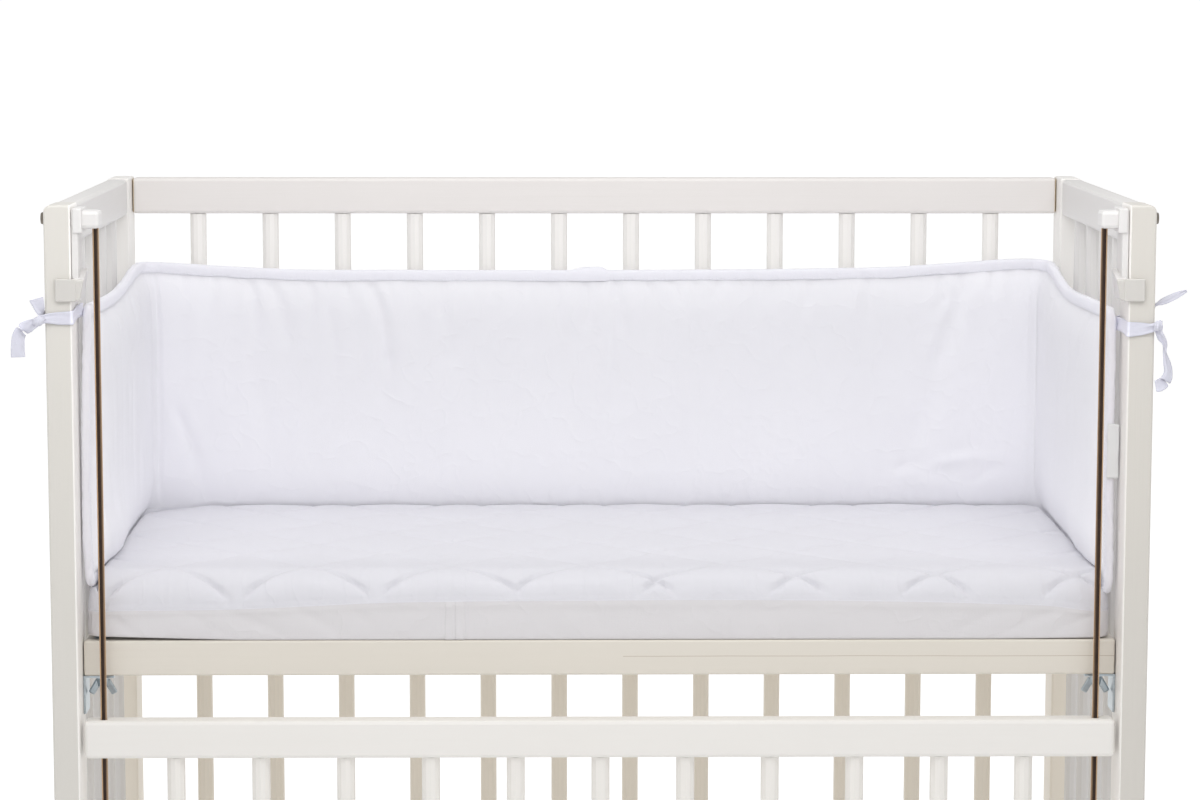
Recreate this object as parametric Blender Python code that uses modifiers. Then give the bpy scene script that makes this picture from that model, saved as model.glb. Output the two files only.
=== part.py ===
"""A padded crib bumper tied inside a white wooden bedside crib, with its mattress and its lowered side.

Metres, +Z up. The origin is on the floor, under the middle of the whole. The open long side faces -Y.
Heights are given as a drop below the crib's top edge and depths as a distance behind the front posts' faces.
"""

from collections import namedtuple
import math

import bmesh
import bpy
from mathutils import Matrix, Vector

# Driving sizes of the crib
CRIB_HEIGHT = 0.860
CRIB_DEPTH = 0.448
INNER_WIDTH = 0.907
FRONT_Y = -0.219
POST_WIDTH = 0.023
POST_DEPTH = 0.045
RAIL_DROP = 0.001
RAIL_HEIGHT = 0.035
FOOT_RAIL_DROP = 0.790
BACK_RAIL_THICK = 0.020
SIDE_RAIL_THICK = 0.020
POST_EDGE = 0.0018
POST_CROWN = 0.006
RAIL_EDGE = 0.003
BAR_RADIUS = 0.008
BACK_BARS = 12
BACK_PITCH = 0.0709
SIDE_BARS = 4
SIDE_PITCH = 0.073
BOARD_FRONT = 0.0285
BOARD_HALF_WIDTH = 0.4525
BOARD_DROP = 0.3835
BOARD_THICK = 0.031
BOARD_EDGE = 0.002
TOUCH_GAP = 0.0003
CUT_PAST = 0.010

# The bolt heads on the outer faces of the front posts
CORNER_BOLT_DEPTH = 0.020
CORNER_BOLT_DROP = 0.0125
CORNER_BOLT_THICK = 0.0042
CORNER_BOLT_RADIUS = 0.0062
CORNER_BOLT_FACE = 0.0048

# The plates under the board, with the bolts and wing nuts of the two in front
PLATE_THICK = 0.0018
PLATE_INNER = 0.4265
PLATE_LEG = 0.034
NUT_X = 0.438
NUT_DEPTH = 0.044
BOLT_RADIUS = 0.0029
BOLT_HOLE = 0.0033
BOLT_END_DROP = 0.4400
BOLT_HEAD_RADIUS = 0.0070
BOLT_HEAD_DOME = 0.0040
BOLT_HEAD_THICK = 0.0018
WASHER_RADIUS = 0.0078
WASHER_THICK = 0.0016
NUT_HEIGHT = 0.0095
NUT_TOP_RADIUS = 0.0062
NUT_FOOT_RADIUS = 0.0045
WING_SIZE = (0.0060, 0.0030, 0.0135)
WING_OUT = 0.0036
WING_DROP = 0.0046
WING_LEAN = math.radians(30)

# The lowered side, its two guide rods and the plastic fittings that hold the rods
DROP_TOP = 0.4505
DROP_RAIL_HEIGHT = 0.033
DROP_RAIL_FRONT = 0.005
DROP_RAIL_THICK = 0.022
DROP_HALF_WIDTH = 0.450
DROP_FOOT = 0.840
DROP_BARS = 11
DROP_PITCH = 0.0743
ROD_X = 0.434
ROD_DEPTH = 0.016
ROD_RADIUS = 0.0028
ROD_HOLE = 0.0036
ARM_DROP = 0.0205
SHOE_DROP = DROP_FOOT + TOUCH_GAP
SHOE_HEIGHT = 0.012
GUIDE_WALL = INNER_WIDTH / 2 - TOUCH_GAP
CATCH_RISE = 0.008
CATCH_TAPER = 0.0035

# The blocks that a fitting is made of: reach from x = 0 to their outer and inner sides, depth, drop and edge
Block = namedtuple("Block", "outer inner near far high low edge")
STRIP = Block(GUIDE_WALL, 0.4475, 0.0030, 0.0310, 0.0040, 0.0800, 0.001)
ARM = Block(GUIDE_WALL - 0.0010, 0.4295, 0.0045, 0.0275, 0.0052, ARM_DROP, 0.003)
TAB = Block(GUIDE_WALL - 0.0014, 0.4440, 0.0010, 0.0296, 0.0028, 0.0240, 0.001)
CATCH = Block(GUIDE_WALL - 0.0014, 0.4425, -0.0024, 0.0290, 0.0640, 0.0815, 0.0)
LIP = Block(0.4670, GUIDE_WALL - 0.0040, -0.0036, -TOUCH_GAP, 0.0630, 0.0825, 0.001)
SHOE = Block(GUIDE_WALL, 0.4265, 0.0050, 0.0270, SHOE_DROP, SHOE_DROP + SHOE_HEIGHT, 0.0015)

# The bumper: a long pad whose middle line runs up one side, across the back and down the other side
SIDE_MID = 0.4445
BACK_MID = 0.421
FRONT_END = 0.0315
FOLD_RADIUS = 0.020
EDGE_HALF = 0.0024
INNER_CROWN = 0.0078
OUTER_CROWN = 0.0038
FLANGE = 0.0095
CORNER_ROUND = 0.012
PAD_FOOT = 0.3355
SWELL_FROM_TOP = 0.040
SWELL_FROM_FOOT = 0.045
SWELL_FROM_END = 0.045
SWELL_POWER = 2.4
FOLD_FULLNESS = 0.25
SIDE_STATIONS = 12
ARC_STATIONS = 4
END_STATION = 0.018
LEAST_STEP = 0.004
GREATEST_STEP = 0.032

# The tape round the bumper's edge
TAPE_HALF = 0.0037
TAPE_CAP = 0.0014
TAPE_GAP = 0.0003
TAPE_START = 0.11
TAPE_NARROWING = 0.86
JOIN_RISE = 0.0024
JOIN_THICKENING = 0.0006
JOIN_HALF_WIDTH = 0.020

# The mattress
MATTRESS_LEFT = -0.450
MATTRESS_RIGHT = 0.448
MATTRESS_FRONT = 0.030
MATTRESS_BACK = 0.4265
MATTRESS_FOOT = BOARD_DROP - TOUCH_GAP
MATTRESS_BAND = 0.352
MATTRESS_TOP = 0.324
SHOULDER = 0.031
SHOULDER_STEPS = (0.0, 0.0018, 0.0060, 0.0125, 0.0210, SHOULDER)
FRONT_SQUARENESS = 1.9
SIDE_SQUARENESS = 1.3
MATTRESS_COLUMNS = 12
MATTRESS_ROWS = 6
MATTRESS_CROWN = 0.0022
CORNER_LIFT = 0.0052
CORNER_LIFT_REACH = 0.135
FOOT_TUCK = 0.004
FOOT_TUCK_REACH = 0.006

# The bare tag beside the right front edge: x, depth and drop
LABEL = ((0.4420, 0.4522), (0.0282, 0.0294), (0.1920, 0.2404))

Edge = namedtuple("Edge", "along drop")
Pucker = namedtuple("Pucker", "at deep reach lean")
Fold = namedtuple("Fold", "at deep wide")
Lie = namedtuple("Lie", "x depth drop wide width thick")

# The tape's upper edge: distance from a front end along each side, and x along the back
TOP_LEFT = (
    Edge(0.000, 0.0880), Edge(0.055, 0.0893), Edge(0.110, 0.0912), Edge(0.165, 0.0920),
    Edge(0.215, 0.0908), Edge(0.265, 0.0875), Edge(0.315, 0.0825), Edge(0.370, 0.0815),
)
TOP_BACK = (
    Edge(-0.424, 0.0830), Edge(-0.367, 0.0865), Edge(-0.300, 0.0898), Edge(-0.190, 0.0905),
    Edge(-0.050, 0.0908), Edge(0.060, 0.0905), Edge(0.220, 0.0891), Edge(0.300, 0.0872),
    Edge(0.358, 0.0832), Edge(0.424, 0.0795),
)
TOP_RIGHT = (
    Edge(0.000, 0.0915), Edge(0.070, 0.0924), Edge(0.135, 0.0938), Edge(0.200, 0.0955),
    Edge(0.255, 0.0950), Edge(0.300, 0.0900), Edge(0.345, 0.0825), Edge(0.370, 0.0805),
)
# How much lower than the rest the foot hangs near the right front end
FOOT_RIGHT = (Edge(0.000, 0.0080), Edge(0.030, 0.0050), Edge(0.075, 0.0005), Edge(0.370, 0.0))

# Gathers under the tape along the back: x, depth of the dent, how far down it reaches and its slant
PUCKERS = (
    Pucker(-0.333, 0.0014, 0.030, 0.00), Pucker(-0.300, 0.0018, 0.040, 0.15),
    Pucker(-0.262, 0.0016, 0.045, 0.10), Pucker(-0.218, 0.0028, 0.085, 0.22),
    Pucker(-0.149, 0.0014, 0.040, 0.00), Pucker(-0.039, 0.0012, 0.035, -0.10),
    Pucker(0.019, 0.0026, 0.075, 0.00), Pucker(0.056, 0.0014, 0.030, 0.20),
    Pucker(0.092, 0.0018, 0.040, 0.10), Pucker(0.161, 0.0014, 0.035, -0.10),
    Pucker(0.211, 0.0018, 0.040, 0.00), Pucker(0.266, 0.0014, 0.035, 0.10),
    Pucker(0.348, 0.0020, 0.060, -0.20), Pucker(0.395, 0.0016, 0.045, -0.20),
)
PUCKER_WIDTH = 0.009

# Soft upright folds of the two sides, by distance from the front end
LEFT_FOLDS = (Fold(0.110, 0.0014, 0.020), Fold(0.195, 0.0022, 0.024), Fold(0.285, 0.0024, 0.022))
RIGHT_FOLDS = (Fold(0.130, 0.0014, 0.022), Fold(0.225, 0.0020, 0.024), Fold(0.300, 0.0018, 0.020))
# The stitched corner folds, as an angle round each corner from the side towards the back
LEFT_GROOVE = math.radians(66)
RIGHT_GROOVE = math.radians(45)
GROOVE_HALF_WIDTH = 0.016

# Rows of the pad, as distances from its upper and from its lower edge
ROWS_FROM_TOP = (0.0, FLANGE, 0.0150, 0.0250, 0.0420, 0.0700)
ROWS_FROM_FOOT = (0.0950, 0.0550, 0.0250, FLANGE, 0.0)

# The ties: centre line, the way their width lies, width and thickness
UP = (0, 0, 1)
LEFT_FRONT_TIE = (
    Lie(-0.4490, 0.0365, 0.0925, UP, 0.0110, 0.0010), Lie(-0.4508, 0.0315, 0.0930, UP, 0.0110, 0.0010),
    Lie(-0.4526, 0.0240, 0.0942, UP, 0.0112, 0.0010), Lie(-0.4526, 0.0110, 0.0955, UP, 0.0116, 0.0010),
    Lie(-0.4525, 0.0020, 0.0962, UP, 0.0118, 0.0010), Lie(-0.4526, -0.0003, 0.0964, UP, 0.0118, 0.0010),
    Lie(-0.4537, -0.0014, 0.0965, UP, 0.0117, 0.0010), Lie(-0.4565, -0.0014, 0.0966, UP, 0.0116, 0.0010),
    Lie(-0.4650, -0.0013, 0.0968, UP, 0.0108, 0.0011),
    Lie(-0.4735, -0.0028, 0.0968, UP, 0.0092, 0.0018), Lie(-0.4775, -0.0054, 0.0974, UP, 0.0084, 0.0044),
    Lie(-0.4806, -0.0064, 0.0984, (0.1, 0, 1), 0.0100, 0.0070),
    Lie(-0.4842, -0.0056, 0.1004, (0.3, 0, 1), 0.0092, 0.0042),
    Lie(-0.4888, -0.0036, 0.1028, (0.5, 0, 0.85), 0.0108, 0.0014),
    Lie(-0.4940, -0.0036, 0.1055, (0.6, 0, 0.8), 0.0115, 0.0011),
    Lie(-0.4982, -0.0042, 0.1110, (0.9, 0.1, 0.4), 0.0112, 0.0011),
    Lie(-0.4993, -0.0046, 0.1200, (1, 0.15, 0), 0.0118, 0.0011),
    Lie(-0.4993, -0.0040, 0.1300, (1, 0.10, 0), 0.0124, 0.0011),
)
LEFT_REAR_TIE = (
    Lie(-0.4490, 0.0382, 0.0925, UP, 0.0110, 0.0010), Lie(-0.4514, 0.0412, 0.0930, UP, 0.0110, 0.0010),
    Lie(-0.4525, 0.0436, 0.0938, UP, 0.0110, 0.0010), Lie(-0.4525, 0.0453, 0.0943, UP, 0.0110, 0.0010),
    Lie(-0.4536, 0.0464, 0.0950, UP, 0.0110, 0.0010), Lie(-0.4570, 0.0464, 0.0955, UP, 0.0110, 0.0010),
    Lie(-0.4735, 0.0464, 0.0960, UP, 0.0110, 0.0010), Lie(-0.4764, 0.0464, 0.0960, UP, 0.0110, 0.0010),
    Lie(-0.4778, 0.0452, 0.0960, UP, 0.0110, 0.0010), Lie(-0.4779, 0.0430, 0.0960, UP, 0.0110, 0.0010),
    Lie(-0.4778, 0.0300, 0.0962, UP, 0.0110, 0.0010), Lie(-0.4778, 0.0100, 0.0965, UP, 0.0105, 0.0010),
    Lie(-0.4780, 0.0034, 0.0960, (0, 0.2, 1), 0.0092, 0.0010),
    Lie(-0.4783, 0.0002, 0.0945, (0, 0.5, 0.9), 0.0070, 0.0010),
    Lie(-0.4785, -0.0008, 0.0920, (0.1, 0.9, 0.4), 0.0050, 0.0010),
    Lie(-0.4794, -0.0022, 0.0890, (0.9, 0.4, 0.2), 0.0060, 0.0010),
    Lie(-0.4811, -0.0034, 0.0845, (1, 0, 0.15), 0.0100, 0.0010),
    Lie(-0.4826, -0.0044, 0.0795, (1, 0, 0.1), 0.0128, 0.0010),
)
RIGHT_FRONT_TIE = (
    Lie(0.4490, 0.0365, 0.1050, UP, 0.0120, 0.0010), Lie(0.4508, 0.0315, 0.1053, UP, 0.0120, 0.0010),
    Lie(0.4526, 0.0240, 0.1056, UP, 0.0122, 0.0010), Lie(0.4526, 0.0110, 0.1060, UP, 0.0124, 0.0010),
    Lie(0.4525, 0.0020, 0.1064, UP, 0.0126, 0.0010), Lie(0.4526, -0.0003, 0.1066, UP, 0.0126, 0.0010),
    Lie(0.4537, -0.0014, 0.1066, UP, 0.0127, 0.0010), Lie(0.4565, -0.0014, 0.1066, UP, 0.0127, 0.0010),
    Lie(0.4650, -0.0013, 0.1062, UP, 0.0110, 0.0011),
    Lie(0.4725, -0.0022, 0.1055, UP, 0.0084, 0.0018), Lie(0.4762, -0.0042, 0.1042, UP, 0.0086, 0.0046),
    Lie(0.4785, -0.0056, 0.1035, (0.2, 0, 1), 0.0100, 0.0072),
    Lie(0.4792, -0.0050, 0.1085, (1, 0, 0.2), 0.0064, 0.0040),
    Lie(0.4815, -0.0040, 0.1135, (1, 0, 0.3), 0.0068, 0.0014),
    Lie(0.4848, -0.0036, 0.1190, (1, 0.2, 0.3), 0.0046, 0.0012),
    Lie(0.4852, -0.0034, 0.1265, (0.8, 0.6, 0), 0.0034, 0.0012),
    Lie(0.4870, -0.0036, 0.1350, (1, 0.3, 0.1), 0.0066, 0.0011),
    Lie(0.4882, -0.0040, 0.1430, (1, 0.1, 0.2), 0.0076, 0.0011),
    Lie(0.4862, -0.0044, 0.1500, (0.7, 0, 0.7), 0.0100, 0.0011),
    Lie(0.4812, -0.0040, 0.1545, (0.5, 0, 0.9), 0.0112, 0.0011),
    Lie(0.4772, -0.0036, 0.1555, (0.4, 0, 0.9), 0.0096, 0.0011),
)
RIGHT_REAR_TIE = (
    Lie(0.4490, 0.0382, 0.1050, UP, 0.0120, 0.0010), Lie(0.4514, 0.0412, 0.1050, UP, 0.0120, 0.0010),
    Lie(0.4525, 0.0436, 0.1050, UP, 0.0120, 0.0010), Lie(0.4525, 0.0453, 0.1050, UP, 0.0120, 0.0010),
    Lie(0.4536, 0.0464, 0.1050, UP, 0.0120, 0.0010), Lie(0.4570, 0.0464, 0.1050, UP, 0.0120, 0.0010),
    Lie(0.4735, 0.0464, 0.1048, UP, 0.0120, 0.0010), Lie(0.4764, 0.0464, 0.1045, UP, 0.0120, 0.0010),
    Lie(0.4778, 0.0452, 0.1043, UP, 0.0119, 0.0010), Lie(0.4779, 0.0430, 0.1042, UP, 0.0118, 0.0010),
    Lie(0.4778, 0.0300, 0.1036, UP, 0.0112, 0.0010), Lie(0.4779, 0.0150, 0.1020, (0, 0.2, 1), 0.0100, 0.0010),
    Lie(0.4782, 0.0090, 0.0975, (0, 0.8, 0.5), 0.0080, 0.0010),
    Lie(0.4788, 0.0078, 0.0920, (0.3, 0.9, 0.1), 0.0056, 0.0010),
    Lie(0.4822, 0.0080, 0.0868, (0.3, 0.4, 0.8), 0.0052, 0.0010),
    Lie(0.4885, 0.0074, 0.0826, (0.4, 0, 0.9), 0.0074, 0.0010),
    Lie(0.4965, 0.0066, 0.0782, (0.4, 0, 0.9), 0.0060, 0.0010),
    Lie(0.5044, 0.0060, 0.0740, (0.4, 0, 0.9), 0.0026, 0.0010),
)
TIE_STEPS = 2

COLOURS = {
    "bumper_cloth": ((0.80, 0.80, 0.84), 0.9, 0.0), "tape_cloth": ((0.76, 0.77, 0.84), 0.9, 0.0),
    "label_cloth": ((0.82, 0.82, 0.83), 0.7, 0.0), "mattress_cloth": ((0.78, 0.78, 0.80), 0.9, 0.0),
    "white_wood": ((0.74, 0.73, 0.69), 0.45, 0.0), "board_wood": ((0.72, 0.67, 0.58), 0.6, 0.0),
    "white_plastic": ((0.76, 0.75, 0.71), 0.4, 0.0), "zinc": ((0.55, 0.58, 0.60), 0.35, 1.0),
    "dark_steel": ((0.06, 0.045, 0.04), 0.35, 1.0),
}


# Helpers


def clear_scene():
    for old in list(bpy.data.objects):
        bpy.data.objects.remove(old, do_unlink=True)


def collection(name, hidden=False):
    made = bpy.data.collections.new(name)
    bpy.context.scene.collection.children.link(made)
    made.hide_render = hidden
    return made


def material(name):
    found = bpy.data.materials.get(name)
    if found:
        return found
    colour, roughness, metallic = COLOURS[name]
    made = bpy.data.materials.new(name)
    made.use_nodes = True
    shader = made.node_tree.nodes["Principled BSDF"]
    shader.inputs["Base Color"].default_value = (*colour, 1.0)
    shader.inputs["Roughness"].default_value = roughness
    shader.inputs["Metallic"].default_value = metallic
    return made


def at(x, depth, drop):
    return Vector((x, FRONT_Y + depth, CRIB_HEIGHT - drop))


def add_object(name, mesh, finish, smooth=False):
    made = bpy.data.objects.new(name, mesh)
    PART.objects.link(made)
    if finish:
        mesh.materials.append(material(finish))
    if smooth:
        mesh.shade_smooth()
        mesh.set_sharp_from_angle(angle=math.radians(40))
    return made


def object_from(bm, name, finish, smooth=False):
    bmesh.ops.recalc_face_normals(bm, faces=bm.faces)
    mesh = bpy.data.meshes.new(name)
    bm.to_mesh(mesh)
    bm.free()
    return add_object(name, mesh, finish, smooth)


def soften(obj, width, segments=2):
    bevel = obj.modifiers.new("edges", "BEVEL")
    bevel.width = width
    bevel.segments = segments
    bevel.limit_method = "ANGLE"


def box(name, x, depth, drop, finish, edge=0.0015, segments=2):
    """A box from ranges of x, depth and drop, with softened edges."""
    low = at(x[0], depth[0], drop[1])
    high = at(x[1], depth[1], drop[0])
    bm = bmesh.new()
    bmesh.ops.create_cube(bm, size=1.0)
    size = high - low
    bmesh.ops.scale(bm, vec=size, verts=bm.verts)
    bmesh.ops.translate(bm, vec=(low + high) / 2, verts=bm.verts)
    made = object_from(bm, name, finish)
    if edge:
        soften(made, edge, segments)
    return made


def upright(name, x, depth, drop, radius, finish, sides=12, top_radius=None):
    """An upright round bar, or a cone where it has a top radius."""
    length = drop[1] - drop[0]
    bm = bmesh.new()
    bmesh.ops.create_cone(
        bm,
        cap_ends=True,
        segments=sides,
        radius1=radius,
        radius2=radius if top_radius is None else top_radius,
        depth=length,
        matrix=Matrix.Translation(at(x, depth, (drop[0] + drop[1]) / 2)),
    )
    return object_from(bm, name, finish, smooth=True)


def block(name, side, size, finish=None):
    """One block of a fitting, on the side given as -1 or 1."""
    x = sorted((side * size.outer, side * size.inner))
    return box(name, x, (size.near, size.far), (size.high, size.low), finish, size.edge)


def hide_helper(obj):
    obj.hide_render = True
    obj.display_type = "WIRE"
    PART.objects.unlink(obj)
    HELPERS.objects.link(obj)


def boolean(obj, other, operation):
    change = obj.modifiers.new(operation.lower(), "BOOLEAN")
    change.operation = operation
    change.object = other
    change.solver = "EXACT"
    hide_helper(other)


def blend(table, place):
    """The drop that a table of edges gives at a place, eased between its rows."""
    if place <= table[0].along:
        return table[0].drop
    for first, second in zip(table, table[1:]):
        if place <= second.along:
            part = (place - first.along) / (second.along - first.along)
            eased = part * part * (3 - 2 * part)
            return first.drop + (second.drop - first.drop) * eased
    return table[-1].drop


def slab_from_grid(name, columns, rows, place, finish):
    """A closed slab: a grid doubled to two faces, each point carried to place(column, row, face)."""
    bm = bmesh.new()
    bmesh.ops.create_grid(bm, x_segments=columns, y_segments=rows, size=0.5)
    first = list(bm.verts)
    copied = bmesh.ops.extrude_face_region(bm, geom=list(bm.faces), use_keep_orig=True)
    second = [item for item in copied["geom"] if isinstance(item, bmesh.types.BMVert)]
    for face, points in enumerate((first, second)):
        for point in points:
            column = round((point.co.x + 0.5) * columns)
            row = round((0.5 - point.co.y) * rows)
            point.co = place(column, row, face)
    return object_from(bm, name, finish, smooth=True)


# The crib's fixed frame


def on_crown(point, outer):
    """Whether a corner of a post is at its top and on its outer face."""
    return abs(point.co.x - outer) < 1e-5 and abs(point.co.z - CRIB_HEIGHT) < 1e-5


def post(name, side, back):
    inner = side * INNER_WIDTH / 2
    outer = side * (INNER_WIDTH / 2 + POST_WIDTH)
    near = CRIB_DEPTH - POST_DEPTH if back else 0.0
    depth = (near, near + POST_DEPTH)
    made = box(name, sorted((inner, outer)), depth, (0.0, CRIB_HEIGHT), "white_wood", edge=0)
    bm = bmesh.new()
    bm.from_mesh(made.data)
    crown = [edge for edge in bm.edges if all(on_crown(point, outer) for point in edge.verts)]
    bmesh.ops.bevel(bm, geom=crown, offset=POST_CROWN, segments=4, profile=0.5, affect="EDGES")
    bm.to_mesh(made.data)
    bm.free()
    soften(made, POST_EDGE)


def side_panel(name, side):
    """Top and bottom rails and their dowels, between a front and a back post."""
    middle = side * (INNER_WIDTH + POST_WIDTH) / 2
    x = (middle - SIDE_RAIL_THICK / 2, middle + SIDE_RAIL_THICK / 2)
    depth = (POST_DEPTH + TOUCH_GAP, CRIB_DEPTH - POST_DEPTH - TOUCH_GAP)
    panel = box(name, x, depth, (RAIL_DROP, RAIL_DROP + RAIL_HEIGHT), "white_wood", RAIL_EDGE)
    foot = box("foot", x, depth, (FOOT_RAIL_DROP, FOOT_RAIL_DROP + RAIL_HEIGHT), "white_wood", RAIL_EDGE)
    boolean(panel, foot, "UNION")
    for number in range(SIDE_BARS):
        place = CRIB_DEPTH / 2 + (number - (SIDE_BARS - 1) / 2) * SIDE_PITCH
        ends = (RAIL_DROP + RAIL_HEIGHT / 2, FOOT_RAIL_DROP + RAIL_HEIGHT / 2)
        dowel = upright("dowel", middle, place, ends, BAR_RADIUS, "white_wood")
        boolean(panel, dowel, "UNION")


def back_panel():
    half = INNER_WIDTH / 2 - TOUCH_GAP
    depth = (CRIB_DEPTH - BACK_RAIL_THICK, CRIB_DEPTH)
    for name, drop in (("back_top_rail", RAIL_DROP), ("back_foot_rail", FOOT_RAIL_DROP)):
        box(name, (-half, half), depth, (drop, drop + RAIL_HEIGHT), "white_wood", RAIL_EDGE)
    back = CRIB_DEPTH - BACK_RAIL_THICK / 2
    ends = (RAIL_DROP + RAIL_HEIGHT + TOUCH_GAP, FOOT_RAIL_DROP - TOUCH_GAP)
    for number in range(BACK_BARS):
        x = (number - (BACK_BARS - 1) / 2) * BACK_PITCH
        upright(f"back_bar_{number + 1:02d}", x, back, ends, BAR_RADIUS, "white_wood")


def corner_bolt(name, side):
    """The round head of the bolt that holds a front post to its side panel."""
    x = side * (INNER_WIDTH / 2 + POST_WIDTH + TOUCH_GAP + CORNER_BOLT_THICK / 2)
    place = Matrix.Translation(at(x, CORNER_BOLT_DEPTH, CORNER_BOLT_DROP))
    turn = Matrix.Rotation(math.radians(90) * side, 4, "Y")
    bm = bmesh.new()
    bmesh.ops.create_cone(
        bm,
        cap_ends=True,
        segments=16,
        radius1=CORNER_BOLT_RADIUS,
        radius2=CORNER_BOLT_FACE,
        depth=CORNER_BOLT_THICK,
        matrix=place @ turn,
    )
    object_from(bm, name, "zinc", smooth=True)


# The board and what holds it


def board():
    made = box(
        "mattress_board",
        (-BOARD_HALF_WIDTH, BOARD_HALF_WIDTH),
        (BOARD_FRONT, MATTRESS_BACK),
        (BOARD_DROP, BOARD_DROP + BOARD_THICK),
        "board_wood",
        edge=0,
    )
    for side in (-1, 1):
        span = (BOARD_DROP - CUT_PAST, BOARD_DROP + BOARD_THICK + CUT_PAST)
        cutter = upright("hole", side * NUT_X, NUT_DEPTH, span, BOLT_HOLE, None)
        boolean(made, cutter, "DIFFERENCE")
    soften(made, BOARD_EDGE)


def plate(name, side, near, far, hole):
    """A bent steel plate: one leg under the board, one down the post's inner face."""
    under = BOARD_DROP + BOARD_THICK + TOUCH_GAP
    outer = INNER_WIDTH / 2 - TOUCH_GAP
    flat_x = sorted((side * PLATE_INNER, side * outer))
    leg_x = sorted((side * (outer - PLATE_THICK), side * outer))
    flat = box(name, flat_x, (near, far), (under, under + PLATE_THICK), "zinc", edge=0)
    leg = box("leg", leg_x, (near, far), (under + PLATE_THICK / 2, under + PLATE_LEG), None, edge=0)
    boolean(flat, leg, "UNION")
    if hole:
        span = (under - CUT_PAST, under + CUT_PAST)
        cutter = upright("hole", side * NUT_X, NUT_DEPTH, span, BOLT_HOLE, None)
        boolean(flat, cutter, "DIFFERENCE")


def coach_bolt(name, side):
    """Low domed head on the board, and a shank down through the board, the plate and the nut."""
    seat = BOARD_DROP - TOUCH_GAP
    profile = (
        (0.0, seat - BOLT_HEAD_THICK), (BOLT_HEAD_DOME, seat - BOLT_HEAD_THICK * 0.8),
        (BOLT_HEAD_RADIUS, seat - BOLT_HEAD_THICK * 0.1), (BOLT_HEAD_RADIUS, seat),
        (BOLT_RADIUS, seat), (BOLT_RADIUS, BOLT_END_DROP), (0.0, BOLT_END_DROP),
    )
    mesh = bpy.data.meshes.new(name)
    points = [(radius, 0.0, -drop) for radius, drop in profile]
    mesh.from_pydata(points, [(i, i + 1) for i in range(len(points) - 1)], [])
    made = add_object(name, mesh, "zinc")
    made.location = at(side * NUT_X, NUT_DEPTH, 0.0)
    turn = made.modifiers.new("turned", "SCREW")
    turn.steps = turn.render_steps = 12
    turn.use_merge_vertices = True
    turn.merge_threshold = 0.00005


def wing_nut(name, side):
    """A coned nut with a washer and two wings that spread and hang downwards."""
    top = BOARD_DROP + BOARD_THICK + PLATE_THICK + 2 * TOUCH_GAP
    x = side * NUT_X
    nut = upright(name, x, NUT_DEPTH, (top, top + WASHER_THICK), WASHER_RADIUS, "zinc", sides=16)
    span = (top + WASHER_THICK / 2, top + NUT_HEIGHT)
    cone = upright("cone", x, NUT_DEPTH, span, NUT_FOOT_RADIUS, None, 16, top_radius=NUT_TOP_RADIUS)
    boolean(nut, cone, "UNION")
    for way in (-1, 1):
        bm = bmesh.new()
        bmesh.ops.create_cube(bm, size=1.0)
        bmesh.ops.scale(bm, vec=WING_SIZE, verts=bm.verts)
        bmesh.ops.translate(bm, vec=(0.0, 0.0, -WING_SIZE[2] / 2), verts=bm.verts)
        lean = Matrix.Rotation(-WING_LEAN * way, 4, "Y")
        root = Matrix.Translation(at(x + way * WING_OUT, NUT_DEPTH, top + WING_DROP))
        bmesh.ops.transform(bm, matrix=root @ lean, verts=bm.verts)
        wing = object_from(bm, "wing", None)
        soften(wing, WING_SIZE[1] * 0.4)
        boolean(nut, wing, "UNION")
    bore = upright("bore", x, NUT_DEPTH, (top - CUT_PAST, BOLT_END_DROP + CUT_PAST), BOLT_HOLE, None)
    boolean(nut, bore, "DIFFERENCE")


# The lowered side and its guides


def lowered_side():
    half = DROP_HALF_WIDTH
    depth = (DROP_RAIL_FRONT, DROP_RAIL_FRONT + DROP_RAIL_THICK)
    lift = bpy.data.objects.new("drop_side_slide", None)
    lift.location = at(0.0, ROD_DEPTH, DROP_TOP)
    PART.objects.link(lift)
    pieces = []
    for name, drop in (("drop_top_rail", DROP_TOP), ("drop_foot_rail", DROP_FOOT - DROP_RAIL_HEIGHT)):
        rail = box(name, (-half, half), depth, (drop, drop + DROP_RAIL_HEIGHT), "white_wood", RAIL_EDGE)
        for side in (-1, 1):
            span = (drop - CUT_PAST, drop + DROP_RAIL_HEIGHT + CUT_PAST)
            cutter = upright("hole", side * ROD_X, ROD_DEPTH, span, ROD_HOLE, None, sides=16)
            boolean(rail, cutter, "DIFFERENCE")
        pieces.append(rail)
    ends = (DROP_TOP + DROP_RAIL_HEIGHT + TOUCH_GAP, DROP_FOOT - DROP_RAIL_HEIGHT - TOUCH_GAP)
    for number in range(DROP_BARS):
        x = (number - (DROP_BARS - 1) / 2) * DROP_PITCH
        pieces.append(upright(f"drop_bar_{number + 1:02d}", x, ROD_DEPTH, ends, BAR_RADIUS, "white_wood"))
    bpy.context.view_layer.update()
    for piece in pieces:
        piece.parent = lift
        piece.matrix_parent_inverse = lift.matrix_world.inverted()


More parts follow.
